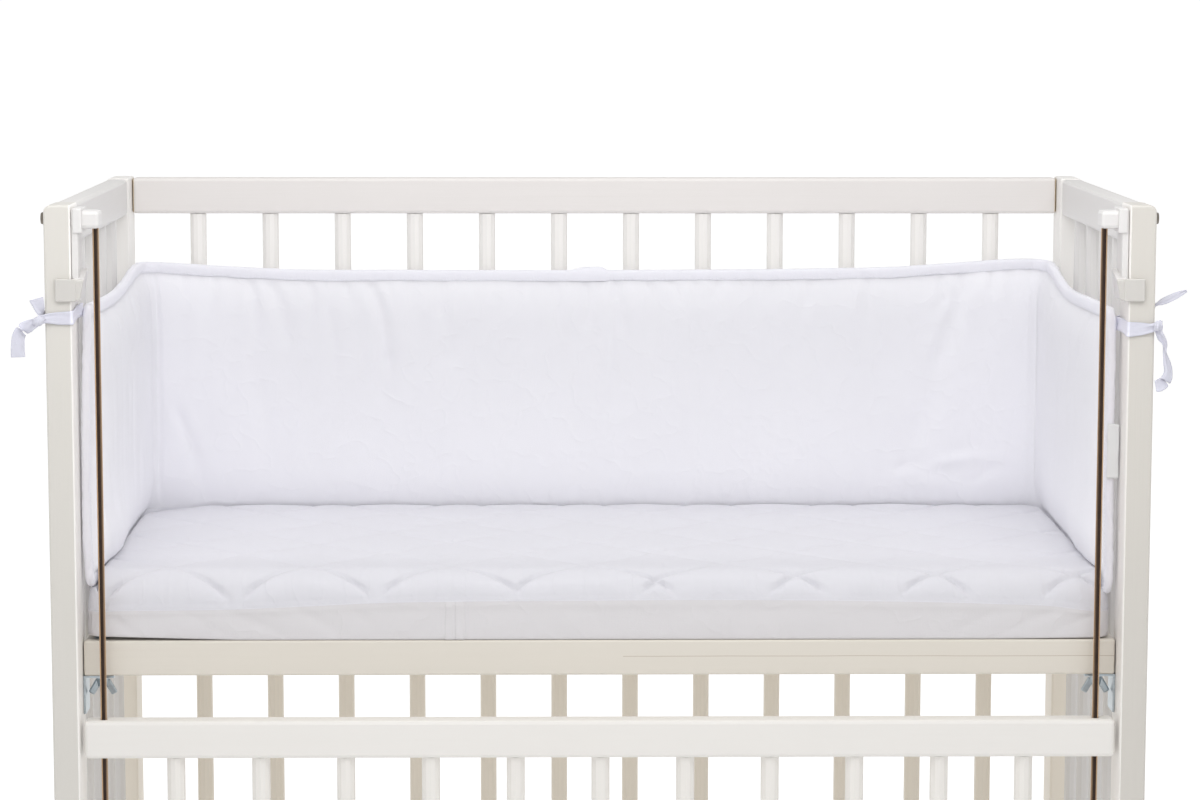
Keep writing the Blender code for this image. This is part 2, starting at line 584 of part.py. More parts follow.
def guide(rod_name, fitting_name, shoe_name, side):
    """A steel rod, the plastic fitting over its upper end and the shoe under its lower end."""
    span = (ARM_DROP + TOUCH_GAP, SHOE_DROP - TOUCH_GAP)
    upright(rod_name, side * ROD_X, ROD_DEPTH, span, ROD_RADIUS, "dark_steel")
    strip = block(fitting_name, side, STRIP, "white_plastic")
    catch = block("catch", side, CATCH)
    middle_z = CRIB_HEIGHT - (CATCH.high + CATCH.low) / 2
    for point in catch.data.vertices:
        if point.co.z > middle_z and point.co.y > FRONT_Y:
            point.co.z += CATCH_RISE
        if point.co.z < middle_z and abs(point.co.x) < STRIP.inner:
            point.co.x += side * CATCH_TAPER
    soften(catch, STRIP.edge)
    for other in (block("arm", side, ARM), block("tab", side, TAB), catch, block("lip", side, LIP)):
        boolean(strip, other, "UNION")
    block(shoe_name, side, SHOE, "white_plastic")


# The mattress


def mattress():
    """A filled mattress: upright sides up to a seam, soft shoulders and lifted front corners."""
    across = MATTRESS_RIGHT - MATTRESS_LEFT
    deep = MATTRESS_BACK - MATTRESS_FRONT

    def lines(length, count):
        inner = [SHOULDER + (length - 2 * SHOULDER) * k / count for k in range(1, count)]
        return [*SHOULDER_STEPS, *inner, *[length - step for step in reversed(SHOULDER_STEPS)]]

    xs = lines(across, MATTRESS_COLUMNS)
    ys = lines(deep, MATTRESS_ROWS)

    def shoulder_fall(edge, squareness):
        """How far the top has fallen at this distance from its edge."""
        out = max(0.0, 1 - edge / SHOULDER)
        return (MATTRESS_BAND - MATTRESS_TOP) * (1 - (1 - out**squareness) ** (1 / squareness))

    def place(column, row, face):
        x = xs[column]
        y = ys[len(ys) - 1 - row]
        left, right, front, back = x, across - x, y, deep - y
        beside = min(left, right)
        near_end = min(front, back)
        if beside < SHOULDER and near_end < SHOULDER:
            new_beside, new_end = rounded(beside, near_end, SHOULDER)
            radial = SHOULDER - math.hypot(SHOULDER - new_beside, SHOULDER - new_end)
            edge = max(0.0, radial)
            x += (new_beside - beside) * (1 if left < right else -1)
            y += (new_end - near_end) * (1 if front < back else -1)
        else:
            edge = min(beside, near_end)
        if face == 0:
            squareness = FRONT_SQUARENESS if front <= min(beside, back) else SIDE_SQUARENESS
            crown = MATTRESS_CROWN * math.sin(math.pi * x / across) * math.sin(math.pi * y / deep)
            drop = MATTRESS_TOP + shoulder_fall(edge, squareness) - crown
        else:
            from_corner = math.hypot(min(x, across - x), y)
            lift = CORNER_LIFT * max(0.0, 1 - from_corner / CORNER_LIFT_REACH)
            tuck = FOOT_TUCK * max(0.0, 1 - edge / FOOT_TUCK_REACH)
            drop = MATTRESS_FOOT - lift - tuck
        return at(MATTRESS_LEFT + x, MATTRESS_FRONT + y, drop)

    slab_from_grid("mattress", len(xs) - 1, len(ys) - 1, place, "mattress_cloth")


# The bumper


def rounded(first, second, radius):
    """Distances from two edges moved so that a square corner of this size becomes a round one."""
    if first >= radius or second >= radius:
        return first, second
    out_first = 1 - first / radius
    out_second = 1 - second / radius
    new_first = out_first * math.sqrt(1 - out_second**2 / 2)
    new_second = out_second * math.sqrt(1 - out_first**2 / 2)
    return radius * (1 - new_first), radius * (1 - new_second)


SIDE_LENGTH = BACK_MID - FOLD_RADIUS - FRONT_END
ARC_LENGTH = FOLD_RADIUS * math.pi / 2
BACK_LENGTH = 2 * (SIDE_MID - FOLD_RADIUS)
PAD_LENGTH = 2 * SIDE_LENGTH + 2 * ARC_LENGTH + BACK_LENGTH
LEFT_FOLD = SIDE_LENGTH + FOLD_RADIUS * LEFT_GROOVE
RIGHT_FOLD = PAD_LENGTH - SIDE_LENGTH - FOLD_RADIUS * RIGHT_GROOVE


def plan(along):
    """(x, depth) and the inward direction of the pad's middle line, from its left front end."""
    mirror = 1 if along <= PAD_LENGTH / 2 else -1
    run = min(along, PAD_LENGTH - along)
    if run <= SIDE_LENGTH:
        spot, inward = (-SIDE_MID, FRONT_END + run), (1.0, 0.0)
    elif run <= SIDE_LENGTH + ARC_LENGTH:
        turned = (run - SIDE_LENGTH) / FOLD_RADIUS
        inward = (math.cos(turned), -math.sin(turned))
        centre = (-SIDE_MID + FOLD_RADIUS, BACK_MID - FOLD_RADIUS)
        spot = (centre[0] - FOLD_RADIUS * inward[0], centre[1] - FOLD_RADIUS * inward[1])
    else:
        spot, inward = (run - PAD_LENGTH / 2, BACK_MID), (0.0, -1.0)
    return (mirror * spot[0], spot[1]), (mirror * inward[0], inward[1])


def top_drop(along):
    """Drop of the cloth's upper edge, which lies just inside the tape."""
    from_right = PAD_LENGTH - along
    x = along - PAD_LENGTH / 2
    if along <= SIDE_LENGTH:
        drop = blend(TOP_LEFT, along)
    elif from_right <= SIDE_LENGTH:
        drop = blend(TOP_RIGHT, from_right)
    elif x < TOP_BACK[0].along:
        part = (along - SIDE_LENGTH) / ARC_LENGTH
        drop = TOP_LEFT[-1].drop + part * (TOP_BACK[0].drop - TOP_LEFT[-1].drop)
    elif x > TOP_BACK[-1].along:
        part = (from_right - SIDE_LENGTH) / ARC_LENGTH
        drop = TOP_RIGHT[-1].drop + part * (TOP_BACK[-1].drop - TOP_RIGHT[-1].drop)
    else:
        drop = blend(TOP_BACK, x)
    return drop + TAPE_CAP


def foot_drop(along):
    return PAD_FOOT + blend(FOOT_RIGHT, PAD_LENGTH - along)


def stations():
    """Places along the pad: close at its ends, at its folds and at each gather."""
    side = [0.0, FLANGE, END_STATION]
    rest = (SIDE_LENGTH - END_STATION) / SIDE_STATIONS
    side += [END_STATION + rest * k for k in range(1, SIDE_STATIONS + 1)]
    arc = [ARC_LENGTH * k / ARC_STATIONS for k in range(1, ARC_STATIONS + 1)]
    places = side + [SIDE_LENGTH + step for step in arc]
    places += [PAD_LENGTH - place for place in places]
    places += [PAD_LENGTH / 2 + step for step in (-JOIN_HALF_WIDTH, 0.0)]
    valleys = [PAD_LENGTH / 2 + pucker.at for pucker in PUCKERS]
    places += valleys
    places += [(first + second) / 2 for first, second in zip(valleys, valleys[1:])]
    places = sorted(places)
    kept = [places[0]]
    for place in places[1:]:
        gap = place - kept[-1]
        if gap < LEAST_STEP:
            continue
        parts = math.ceil(gap / GREATEST_STEP)
        kept += [kept[-1] + gap * k / parts for k in range(1, parts)]
        kept.append(place)
    return kept


STATIONS = stations()
COLUMNS = len(STATIONS) - 1
ROWS = len(ROWS_FROM_TOP) + len(ROWS_FROM_FOOT)


def cell(column, row):
    """Place along the pad, distance from its top and from its foot, of one point of its grid."""
    along = STATIONS[column]
    height = foot_drop(along) - top_drop(along)
    if row < len(ROWS_FROM_TOP):
        from_top = ROWS_FROM_TOP[row]
    elif row == len(ROWS_FROM_TOP):
        from_top = (ROWS_FROM_TOP[-1] + height - ROWS_FROM_FOOT[0]) / 2
    else:
        from_top = height - ROWS_FROM_FOOT[row - len(ROWS_FROM_TOP) - 1]
    from_end = min(along, PAD_LENGTH - along)
    new_end, new_top = rounded(from_end, from_top, CORNER_ROUND)
    new_end, new_foot = rounded(new_end, height - new_top, CORNER_ROUND)
    along += (new_end - from_end) * (1 if along < PAD_LENGTH / 2 else -1)
    return along, height - new_foot, new_foot


def middle(column, row):
    """Point of the pad's middle surface, and the inward direction there."""
    along, from_top, _ = cell(column, row)
    (x, depth), inward = plan(along)
    return at(x, depth, top_drop(STATIONS[column]) + from_top), Vector((*inward, 0.0))


def swell(distance, reach):
    """0 at a sewn line, rising to 1 at this reach from it."""
    part = min(1.0, max(0.0, distance) / reach)
    return 1 - (1 - part) ** SWELL_POWER


def fullness(along, from_top, from_foot):
    """How full the pad is, from 0 at its sewn edges and corner folds to 1."""
    from_end = min(along, PAD_LENGTH - along)
    full = swell(from_top - FLANGE, SWELL_FROM_TOP) * swell(from_foot - FLANGE, SWELL_FROM_FOOT)
    full *= swell(from_end - FLANGE, SWELL_FROM_END)
    for fold in (LEFT_FOLD, RIGHT_FOLD):
        full *= FOLD_FULLNESS + (1 - FOLD_FULLNESS) * swell(abs(along - fold), GROOVE_HALF_WIDTH)
    return full


def dents(along, from_top):
    """Depth of the gathers and soft folds on the inner face."""
    x = along - PAD_LENGTH / 2
    depth = 0.0
    for pucker in PUCKERS:
        centre = pucker.at + pucker.lean * from_top
        fade = math.exp(-from_top / pucker.reach)
        depth += pucker.deep * fade * math.exp(-(((x - centre) / PUCKER_WIDTH) ** 2))
    for folds, from_end in ((LEFT_FOLDS, along), (RIGHT_FOLDS, PAD_LENGTH - along)):
        for fold in folds:
            depth += fold.deep * math.exp(-(((from_end - fold.at) / fold.wide) ** 2))
    return depth


def bumper_pad():
    def place(column, row, face):
        along, from_top, from_foot = cell(column, row)
        point, inward = middle(column, row)
        full = fullness(along, from_top, from_foot)
        if face == 0:
            return point + inward * (EDGE_HALF + full * (INNER_CROWN - dents(along, from_top)))
        return point - inward * (EDGE_HALF + full * OUTER_CROWN)

    slab_from_grid("bumper_pad", COLUMNS, ROWS, place, "bumper_cloth")


def rim():
    """Grid places round the pad's edge, each with its neighbour just inside."""
    path = [(column, 0) for column in range(COLUMNS)]
    path += [(COLUMNS, row) for row in range(ROWS)]
    path += [(column, ROWS) for column in range(COLUMNS, 0, -1)]
    path += [(0, row) for row in range(ROWS, 0, -1)]
    return [((c, r), (min(max(c, 1), COLUMNS - 1), min(max(r, 1), ROWS - 1))) for c, r in path]


def bumper_tape():
    """Binding folded over the pad's edge, its two ends lapped at the middle of the back."""
    slot = EDGE_HALF + TAPE_GAP
    bm = bmesh.new()
    rings = []
    for outer_cell, inner_cell in rim():
        outer, inward = middle(*outer_cell)
        inner, _ = middle(*inner_cell)
        out = (outer - inner).normalized()
        reach = (outer - inner).length
        start = reach * TAPE_START
        lap = 0.0
        if outer_cell[1] == 0:
            lap = max(0.0, 1 - abs(STATIONS[outer_cell[0]] - PAD_LENGTH / 2) / JOIN_HALF_WIDTH)
        cap = TAPE_CAP + lap * JOIN_RISE
        half = TAPE_HALF + lap * JOIN_THICKENING
        narrow = half * TAPE_NARROWING
        section = (
            (start, half), (reach, narrow), (reach + cap, 0.0), (reach, -narrow), (start, -half),
            (start, -slot), (reach + TAPE_GAP, -slot), (reach + TAPE_GAP, slot), (start, slot),
        )
        rings.append([bm.verts.new(inner + out * along + inward * offset) for along, offset in section])
    for first, second in zip(rings, rings[1:] + rings[:1]):
        for k in range(len(first)):
            n = (k + 1) % len(first)
            bm.faces.new((first[k], first[n], second[n], second[k]))
    object_from(bm, "bumper_tape", "tape_cloth", smooth=True)


def on_curve(before, first, second, after, part):
    """A value part of the way from the first to the second, on a smooth curve through all four."""
    bend = 2 * before - 5 * first + 4 * second - after
    twist = 3 * first - before - 3 * second + after
    return 0.5 * (2 * first + (second - before) * part + bend * part**2 + twist * part**3)


def smooth_route(lies):
    """Centre, width direction, width and thickness along a tie, on a curve through its rows."""

    def row_of(lie):
        return [*at(lie.x, lie.depth, lie.drop), *Vector(lie.wide).normalized(), lie.width, lie.thick]

    rows = [row_of(lie) for lie in lies]
    out = []
    for k in range(len(rows) - 1):
        before = rows[max(k - 1, 0)]
        after = rows[min(k + 2, len(rows) - 1)]
        for step in range(TIE_STEPS):
            four = zip(before, rows[k], rows[k + 1], after)
            out.append([on_curve(*values, step / TIE_STEPS) for values in four])
    return out + [rows[-1]]


def tie(name, lies):
    """A flat tape that runs round a post, thick where it is knotted and loose at its end."""
    route = smooth_route(lies)
    centres = [Vector(row[:3]) for row in route]
    bm = bmesh.new()
    rings = []
    for k, row in enumerate(route):
        forward = (centres[min(k + 1, len(route) - 1)] - centres[max(k - 1, 0)]).normalized()
        wide = Vector(row[3:6])
        wide = (wide - forward * wide.dot(forward)).normalized()
        thin = forward.cross(wide)
        half_width, half_thick = row[6] / 2, row[7] / 2
        section = ((1, 0), (0.8, 1), (-0.8, 1), (-1, 0), (-0.8, -1), (0.8, -1))
        rings.append([
            bm.verts.new(centres[k] + wide * half_width * a + thin * half_thick * b) for a, b in section
        ])
    for first, second in zip(rings, rings[1:]):
        for k in range(len(first)):
            n = (k + 1) % len(first)
            bm.faces.new((first[k], first[n], second[n], second[k]))
    bm.faces.new(rings[0][::-1])
    bm.faces.new(rings[-1])
    object_from(bm, name, "tape_cloth", smooth=True)


def label():
    """A small bare tag that lies against the front of the tape at the bumper's right front edge."""
    box("bumper_label", *LABEL, "label_cloth", edge=TOUCH_GAP)


clear_scene()
PART = collection("crib_bumper_on_a_bedside_crib")
HELPERS = collection("helpers", hidden=True)

for side, hand in ((-1, "left"), (1, "right")):
    post(f"front_post_{hand}", side, back=False)
    post(f"back_post_{hand}", side, back=True)
    side_panel(f"side_panel_{hand}", side)
    corner_bolt(f"corner_bolt_{hand}", side)
    plate(f"front_plate_{hand}", side, 0.0300, 0.0560, hole=True)
    plate(f"back_plate_{hand}", side, 0.4040, 0.4260, hole=False)
    coach_bolt(f"board_bolt_{hand}", side)
    wing_nut(f"wing_nut_{hand}", side)
    guide(f"guide_rod_{hand}", f"rod_fitting_{hand}", f"rod_shoe_{hand}", side)
back_panel()
board()
lowered_side()
mattress()
bumper_pad()
bumper_tape()
tie("tie_left_front", LEFT_FRONT_TIE)
tie("tie_left_rear", LEFT_REAR_TIE)
tie("tie_right_front", RIGHT_FRONT_TIE)
tie("tie_right_rear", RIGHT_REAR_TIE)
label()
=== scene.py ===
# %% [markdown]
# ## A padded crib bumper, tied inside a white bedside crib
#
# This lesson dresses a finished CAD model in Blender. The wooden crib, its lowered side and its
# metal parts keep their CAD meshes and only get better finishes. The soft things, which are the
# bumper, its edge tape, its ties and the mattress, are made again here with finer meshes.

# %% Load the fixed frame
import math
from functools import partial

import bmesh
import bpy
import numpy as np
from mathutils import Matrix, Vector


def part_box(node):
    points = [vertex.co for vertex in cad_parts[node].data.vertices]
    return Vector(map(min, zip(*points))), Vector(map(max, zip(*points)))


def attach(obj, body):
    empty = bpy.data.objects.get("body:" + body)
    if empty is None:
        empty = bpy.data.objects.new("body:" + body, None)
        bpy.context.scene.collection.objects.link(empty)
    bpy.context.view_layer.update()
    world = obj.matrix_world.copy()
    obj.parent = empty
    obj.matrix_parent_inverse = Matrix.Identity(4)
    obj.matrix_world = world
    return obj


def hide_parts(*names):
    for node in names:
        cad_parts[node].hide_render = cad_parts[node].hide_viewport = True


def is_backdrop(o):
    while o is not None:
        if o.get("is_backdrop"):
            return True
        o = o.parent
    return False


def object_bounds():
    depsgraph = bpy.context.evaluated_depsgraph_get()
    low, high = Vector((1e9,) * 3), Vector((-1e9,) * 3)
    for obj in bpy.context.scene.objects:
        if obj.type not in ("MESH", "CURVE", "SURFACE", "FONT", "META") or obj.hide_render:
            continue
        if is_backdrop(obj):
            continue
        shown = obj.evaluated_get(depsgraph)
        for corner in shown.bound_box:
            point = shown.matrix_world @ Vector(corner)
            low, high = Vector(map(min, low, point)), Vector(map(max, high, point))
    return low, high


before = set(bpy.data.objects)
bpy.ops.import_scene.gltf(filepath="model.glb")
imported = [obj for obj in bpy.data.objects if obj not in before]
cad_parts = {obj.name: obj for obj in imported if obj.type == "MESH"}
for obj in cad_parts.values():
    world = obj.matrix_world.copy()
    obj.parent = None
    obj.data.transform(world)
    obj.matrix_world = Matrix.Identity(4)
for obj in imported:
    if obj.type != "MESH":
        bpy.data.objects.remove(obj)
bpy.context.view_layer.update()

# %% [markdown]
# Everything is measured the way a crib maker would: x from the middle, depth behind the faces of
# the front posts, and drop below the top of the crib. One small function turns these three into
# the model's own coordinates, for single numbers and for whole arrays alike.

# %% Crib coordinates
CRIB_HEIGHT = 0.860
FRONT_Y = -0.219
MM = 0.001


def at(x, depth, drop):
    """Places of shape (..., 3) from x, depth behind the front posts and drop below the top."""
    x, depth, drop = np.broadcast_arrays(x, depth, drop)
    return np.stack([x, FRONT_Y + depth, CRIB_HEIGHT - drop], axis=-1).astype(float)


print("top of the crib:", at(0, 0, 0))

# %% [markdown]
# ## Helpers for shader nodes
#
# The surround, the floor and all the finishes are wired from the same few kinds of node. Each
# kind gets a short function that places the node, links it and hands back its output.

# %% Helpers for node trees


def link_or_set(tree, socket, value):
    if isinstance(value, bpy.types.NodeSocket):
        tree.links.new(value, socket)
    else:
        socket.default_value = value


def calc(tree, operation, *terms, clamp=False):
    """One Math node; each term is a number or a socket."""
    made = tree.nodes.new("ShaderNodeMath")
    made.operation = operation
    made.use_clamp = clamp
    for socket, term in zip(made.inputs, terms):
        link_or_set(tree, socket, term)
    return made.outputs[0]


def vector_calc(tree, operation, first, second):
    made = tree.nodes.new("ShaderNodeVectorMath")
    made.operation = operation
    link_or_set(tree, made.inputs[0], first)
    link_or_set(tree, made.inputs[1], second)
    return made.outputs["Vector"]


def noise_value(tree, vector, scale, detail=3.0, rough=0.5):
    made = tree.nodes.new("ShaderNodeTexNoise")
    link_or_set(tree, made.inputs["Vector"], vector)
    link_or_set(tree, made.inputs["Scale"], scale)
    made.inputs["Detail"].default_value = detail
    made.inputs["Roughness"].default_value = rough
    return made.outputs["Fac"]


def split(tree, vector):
    made = tree.nodes.new("ShaderNodeSeparateXYZ")
    tree.links.new(vector, made.inputs[0])
    return made.outputs


def coordinate(tree, kind="Object"):
    return tree.nodes.new("ShaderNodeTexCoord").outputs[kind]


def map_range(tree, value, from_min, from_max, to_min, to_max, smooth=True):
    """One Map Range node, eased at both ends unless told otherwise."""
    made = tree.nodes.new("ShaderNodeMapRange")
    if smooth:
        made.interpolation_type = "SMOOTHSTEP"
    tree.links.new(value, made.inputs["Value"])
    ranges = {"From Min": from_min, "From Max": from_max, "To Min": to_min, "To Max": to_max}
    for label, number in ranges.items():
        made.inputs[label].default_value = number
    return made.outputs[0]


def mix_colours(tree, factor, first, second, blend="MIX"):
    """One colour Mix node; each colour is a socket or three numbers."""
    made = tree.nodes.new("ShaderNodeMix")
    made.data_type = "RGBA"
    made.blend_type = blend
    link_or_set(tree, made.inputs[0], factor)
    for socket, colour in zip((made.inputs[6], made.inputs[7]), (first, second)):
        link_or_set(tree, socket, colour if isinstance(colour, bpy.types.NodeSocket) else (*colour, 1.0))
    return made.outputs[2]


print("node helpers ready")

# %% [markdown]
# A node group is built once and placed in many materials. Two more helpers make a group with its
# named inputs and outputs, and place it in a material with values or sockets for those inputs.

# %% Helpers for node groups


def new_group(name, inputs, outputs):
    """A node group, with its input and output nodes ready to wire."""
    group = bpy.data.node_groups.new(name, "ShaderNodeTree")
    for label, kind, value in inputs:
        socket = group.interface.new_socket(name=label, in_out="INPUT", socket_type=kind)
        if value is not None:
            socket.default_value = value
    for label in outputs:
        group.interface.new_socket(name=label, in_out="OUTPUT", socket_type="NodeSocketFloat")
    return group, group.nodes.new("NodeGroupInput"), group.nodes.new("NodeGroupOutput")


def place_group(tree, group, **values):
    made = tree.nodes.new("ShaderNodeGroup")
    made.node_tree = group
    for label, value in values.items():
        link_or_set(tree, made.inputs[label.replace("_", " ")], value)
    return made.outputs


print("group helpers ready")

# %% [markdown]
# ## Camera and light
#
# The crib is seen from the front with a long lens, a little above its top edge. The camera is
# placed by its position and by its forward direction, so no aiming constraint is needed.

# %% Camera
CAMERA_PLACE, LENS, SENSOR, FAR = (-0.0408, -3.1109, 1.0480), 101.56, 36.0, 200.0
YAW, PITCH, ROLL = 0.01378, 0.12236, 0.00099
forward = Vector((math.sin(YAW) * math.cos(PITCH), math.cos(YAW) * math.cos(PITCH), -math.sin(PITCH)))
level = Vector((math.cos(YAW), -math.sin(YAW), 0.0))
upward = level.cross(forward)
right = level * math.cos(ROLL) + upward * math.sin(ROLL)
upward = upward * math.cos(ROLL) - level * math.sin(ROLL)
camera_data = bpy.data.cameras.new("camera")
camera_data.lens = LENS
camera_data.sensor_width = SENSOR
camera_data.clip_end = FAR
camera = bpy.data.objects.new("camera", camera_data)
bpy.context.scene.collection.objects.link(camera)
turn = Matrix((right, upward, -forward)).transposed().to_4x4()
camera.matrix_world = Matrix.Translation(CAMERA_PLACE) @ turn
bpy.context.scene.camera = camera
print("camera looks along", [round(part, 3) for part in forward])

# %% [markdown]
# A bright studio for white things. The white surround lights every side a little, and three soft
# panels do the rest: one far in front, one high overhead, and one just above the opening, which
# reaches the inside of the crib that its own walls shade. The surround is whitest at the horizon,
# where the camera sees it. The Standard view keeps white as white, where the default view would
# turn it grey.

# %% Studio
bpy.context.scene.view_settings.view_transform = "Standard"
world = bpy.data.worlds.new("white_surround")
bpy.context.scene.world = world
world.use_nodes = True
tree = world.node_tree
surround = tree.nodes["Background"]
surround.inputs["Color"].default_value = (1.0, 1.0, 1.0, 1.0)
HORIZON, STEEP, AT_HORIZON, OVERHEAD = 0.05, 0.32, 1.03, 0.50
steepness = split(tree, coordinate(tree, "Generated"))["Z"]
strength = map_range(tree, steepness, HORIZON, STEEP, AT_HORIZON, OVERHEAD, smooth=False)
tree.links.new(strength, surround.inputs["Strength"])


def light_panel(name, place, target, size, power):
    data = bpy.data.lights.new(name, "AREA")
    data.shape = "RECTANGLE"
    data.size, data.size_y = size
    data.energy = power
    panel = bpy.data.objects.new(name, data)
    bpy.context.scene.collection.objects.link(panel)
    panel.location = place
    panel.rotation_euler = (Vector(target) - Vector(place)).to_track_quat("-Z", "Y").to_euler()
    return panel


# Each panel: place, what it faces, size and power.
light_panel("front_panel", (0.0, -3.4, 2.4), (0.0, 0.0, 0.5), (3.0, 1.6), 4.5)
light_panel("inner_panel", (0.0, -0.80, 1.42), (0.0, 0.2, 0.60), (1.6, 0.5), 7.0)
light_panel("top_panel", (0.0, 0.0, 3.2), (0.0, 0.0, 0.4), (2.6, 2.0), 22.0)

floor_mesh = bpy.data.meshes.new("pale_floor")
FLOOR_HALF = 60.0
floor_corners = [(x * FLOOR_HALF, y * FLOOR_HALF, 0) for x, y in ((-1, -1), (1, -1), (1, 1), (-1, 1))]
floor_mesh.from_pydata(floor_corners, [], [(0, 1, 2, 3)])
floor = bpy.data.objects.new("pale_floor", floor_mesh)
bpy.context.scene.collection.objects.link(floor)
floor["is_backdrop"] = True
print("studio ready")

# %% [markdown]
# ## Shader node groups
#
# An effect that several finishes share is built once, as a node group with named inputs and
# outputs. A group only hands out heights and masks. The shader stays in each material.
#
# Cotton is woven from crossing threads. Two sine waves multiplied make the over-and-under of a
# plain weave, and noise stretched along each thread direction makes the slubs, which are the
# thicker stretches of yarn. The coordinates are the cloth's own flat place in metres, so the
# threads follow every fold.

# %% Woven cotton group
FLOAT, VECTOR = "NodeSocketFloat", "NodeSocketVector"
woven_cotton, source, sink = new_group(
    "woven_cotton",
    [("Place", VECTOR, None), ("Thread", FLOAT, 0.0005), ("Slubs", FLOAT, 0.5)],
    ["Height", "Shade"],
)
do = partial(calc, woven_cotton)
SLUB_LONG, SLUB_FINE = 90, 1500
parts = split(woven_cotton, source.outputs["Place"])
turns = do("DIVIDE", math.pi, source.outputs["Thread"])
warp, weft = (do("SINE", do("MULTIPLY", parts[axis], turns)) for axis in "XY")
threads = do("MULTIPLY", warp, weft)
slub_x, slub_y = (
    noise_value(
        woven_cotton, vector_calc(woven_cotton, "MULTIPLY", source.outputs["Place"], stretch), 1.0, 2.0
    )
    for stretch in ((SLUB_LONG, SLUB_FINE, 1), (SLUB_FINE, SLUB_LONG, 1))
)
slubs = do("MULTIPLY", do("SUBTRACT", do("ADD", slub_x, slub_y), 1.0), source.outputs["Slubs"])
woven_cotton.links.new(do("ADD", do("MULTIPLY", threads, 0.5), slubs), sink.inputs["Height"])
woven_cotton.links.new(do("MULTIPLY_ADD", slubs, 0.5, 0.5), sink.inputs["Shade"])
print("group", woven_cotton.name)

# %% [markdown]
# Washed cotton keeps small soft creases even where it is stretched. Ridged noise, which is noise
# folded about its middle value, gives long thin lines with soft flanks.

# %% Soft crease group
soft_creases, source, sink = new_group(
    "soft_creases", [("Place", VECTOR, None), ("Scale", FLOAT, 30.0), ("Sharp", FLOAT, 4.0)], ["Height"]
)
do = partial(calc, soft_creases)
base = noise_value(soft_creases, source.outputs["Place"], source.outputs["Scale"], 2.0, 0.45)
folded = do("ABSOLUTE", do("MULTIPLY_ADD", base, 2.0, -1.0))
ridge = do("SUBTRACT", 1.0, do("MULTIPLY", folded, 2.2), clamp=True)
lines = do("POWER", ridge, source.outputs["Sharp"])
swells = noise_value(soft_creases, source.outputs["Place"], do("MULTIPLY", source.outputs["Scale"], 0.6), 1.0)
soft_creases.links.new(do("MULTIPLY_ADD", lines, 0.45, swells), sink.inputs["Height"])
print("group", soft_creases.name)

# %% [markdown]
# Sprayed paint on wood hides most of the grain. What is left is long faint lines along the piece
# and the fine orange-peel of the spray. The grain coordinates are squeezed along the piece, so
# one group serves rails, posts and the board with its own stretch.

# %% Painted timber group
painted_timber, source, sink = new_group(
    "painted_timber", [("Stretch", VECTOR, (1.0, 1.0, 1.0)), ("Grain", FLOAT, 0.5)],
    ["Height", "Shade", "Sheen"],
)
do = partial(calc, painted_timber)
PEEL_SCALE, CLOUD_SCALE = 900.0, 9.0
place = coordinate(painted_timber)
fibres = noise_value(
    painted_timber, vector_calc(painted_timber, "MULTIPLY", place, source.outputs["Stretch"]), 1.0, 5.0, 0.6
)
peel = noise_value(painted_timber, place, PEEL_SCALE, 2.0)
clouds = noise_value(painted_timber, place, CLOUD_SCALE, 2.0)
grain = do("MULTIPLY", do("SUBTRACT", fibres, 0.5), source.outputs["Grain"])
painted_timber.links.new(do("MULTIPLY_ADD", peel, 0.12, grain), sink.inputs["Height"])
shade = do("MULTIPLY_ADD", grain, 0.6, do("MULTIPLY_ADD", clouds, 0.5, 0.25))
painted_timber.links.new(shade, sink.inputs["Shade"])
painted_timber.links.new(do("MULTIPLY_ADD", clouds, 0.16, 0.34), sink.inputs["Sheen"])
print("group", painted_timber.name)

# %% [markdown]
# Edges wear first. The Bevel node gives the normal that a rounded edge would have, and where it
# differs from the true normal there is an edge. The group turns that difference into a mask.

# %% Edge wear group
edge_wear, source, sink = new_group(
    "edge_wear", [("Radius", FLOAT, 0.0015), ("Patchy", FLOAT, 0.5)], ["Mask"]
)
do = partial(calc, edge_wear)
rounded_edge = edge_wear.nodes.new("ShaderNodeBevel")
rounded_edge.samples = 4
edge_wear.links.new(source.outputs["Radius"], rounded_edge.inputs["Radius"])
true_side = edge_wear.nodes.new("ShaderNodeNewGeometry")
agree = edge_wear.nodes.new("ShaderNodeVectorMath")
agree.operation = "DOT_PRODUCT"
edge_wear.links.new(rounded_edge.outputs[0], agree.inputs[0])
edge_wear.links.new(true_side.outputs["Normal"], agree.inputs[1])
edge = do("MULTIPLY", do("SUBTRACT", 1.0, agree.outputs["Value"]), 5.0, clamp=True)
spots = noise_value(edge_wear, true_side.outputs["Position"], 140.0, 3.0)
patchy = do("SUBTRACT", 1.0, do("MULTIPLY", spots, source.outputs["Patchy"]))
edge_wear.links.new(do("MULTIPLY", edge, patchy), sink.inputs["Mask"])
print("group", edge_wear.name)

# %% [markdown]
# ## Finishes
#
# Each cloth is a rough white shader with a little sheen, which is the light that loose fibres
# catch at a grazing angle. Its colour moves slightly with the slubs, and its bump joins the weave
# with the soft creases. Some colours carry painted light and shade: the mattress cover is painted
# darker over its front shoulder, the bumper darker near its upper edge and lighter along its two
# sides, and the tape along the sides and the ties inside the posts are painted lighter.

# %% Cloth finishes


def new_material(name, **constants):
    made = bpy.data.materials.new(name)
    made.use_nodes = True
    tree = made.node_tree
    shader = tree.nodes["Principled BSDF"]
    for label, value in constants.items():
        shader.inputs[label.replace("_", " ")].default_value = value
    return made, tree, shader


def bump(tree, shader, height, distance):
    made = tree.nodes.new("ShaderNodeBump")
    made.inputs["Distance"].default_value = distance
    made.inputs["Strength"].default_value = 1.0
    tree.links.new(height, made.inputs["Height"])
    tree.links.new(made.outputs["Normal"], shader.inputs["Normal"])


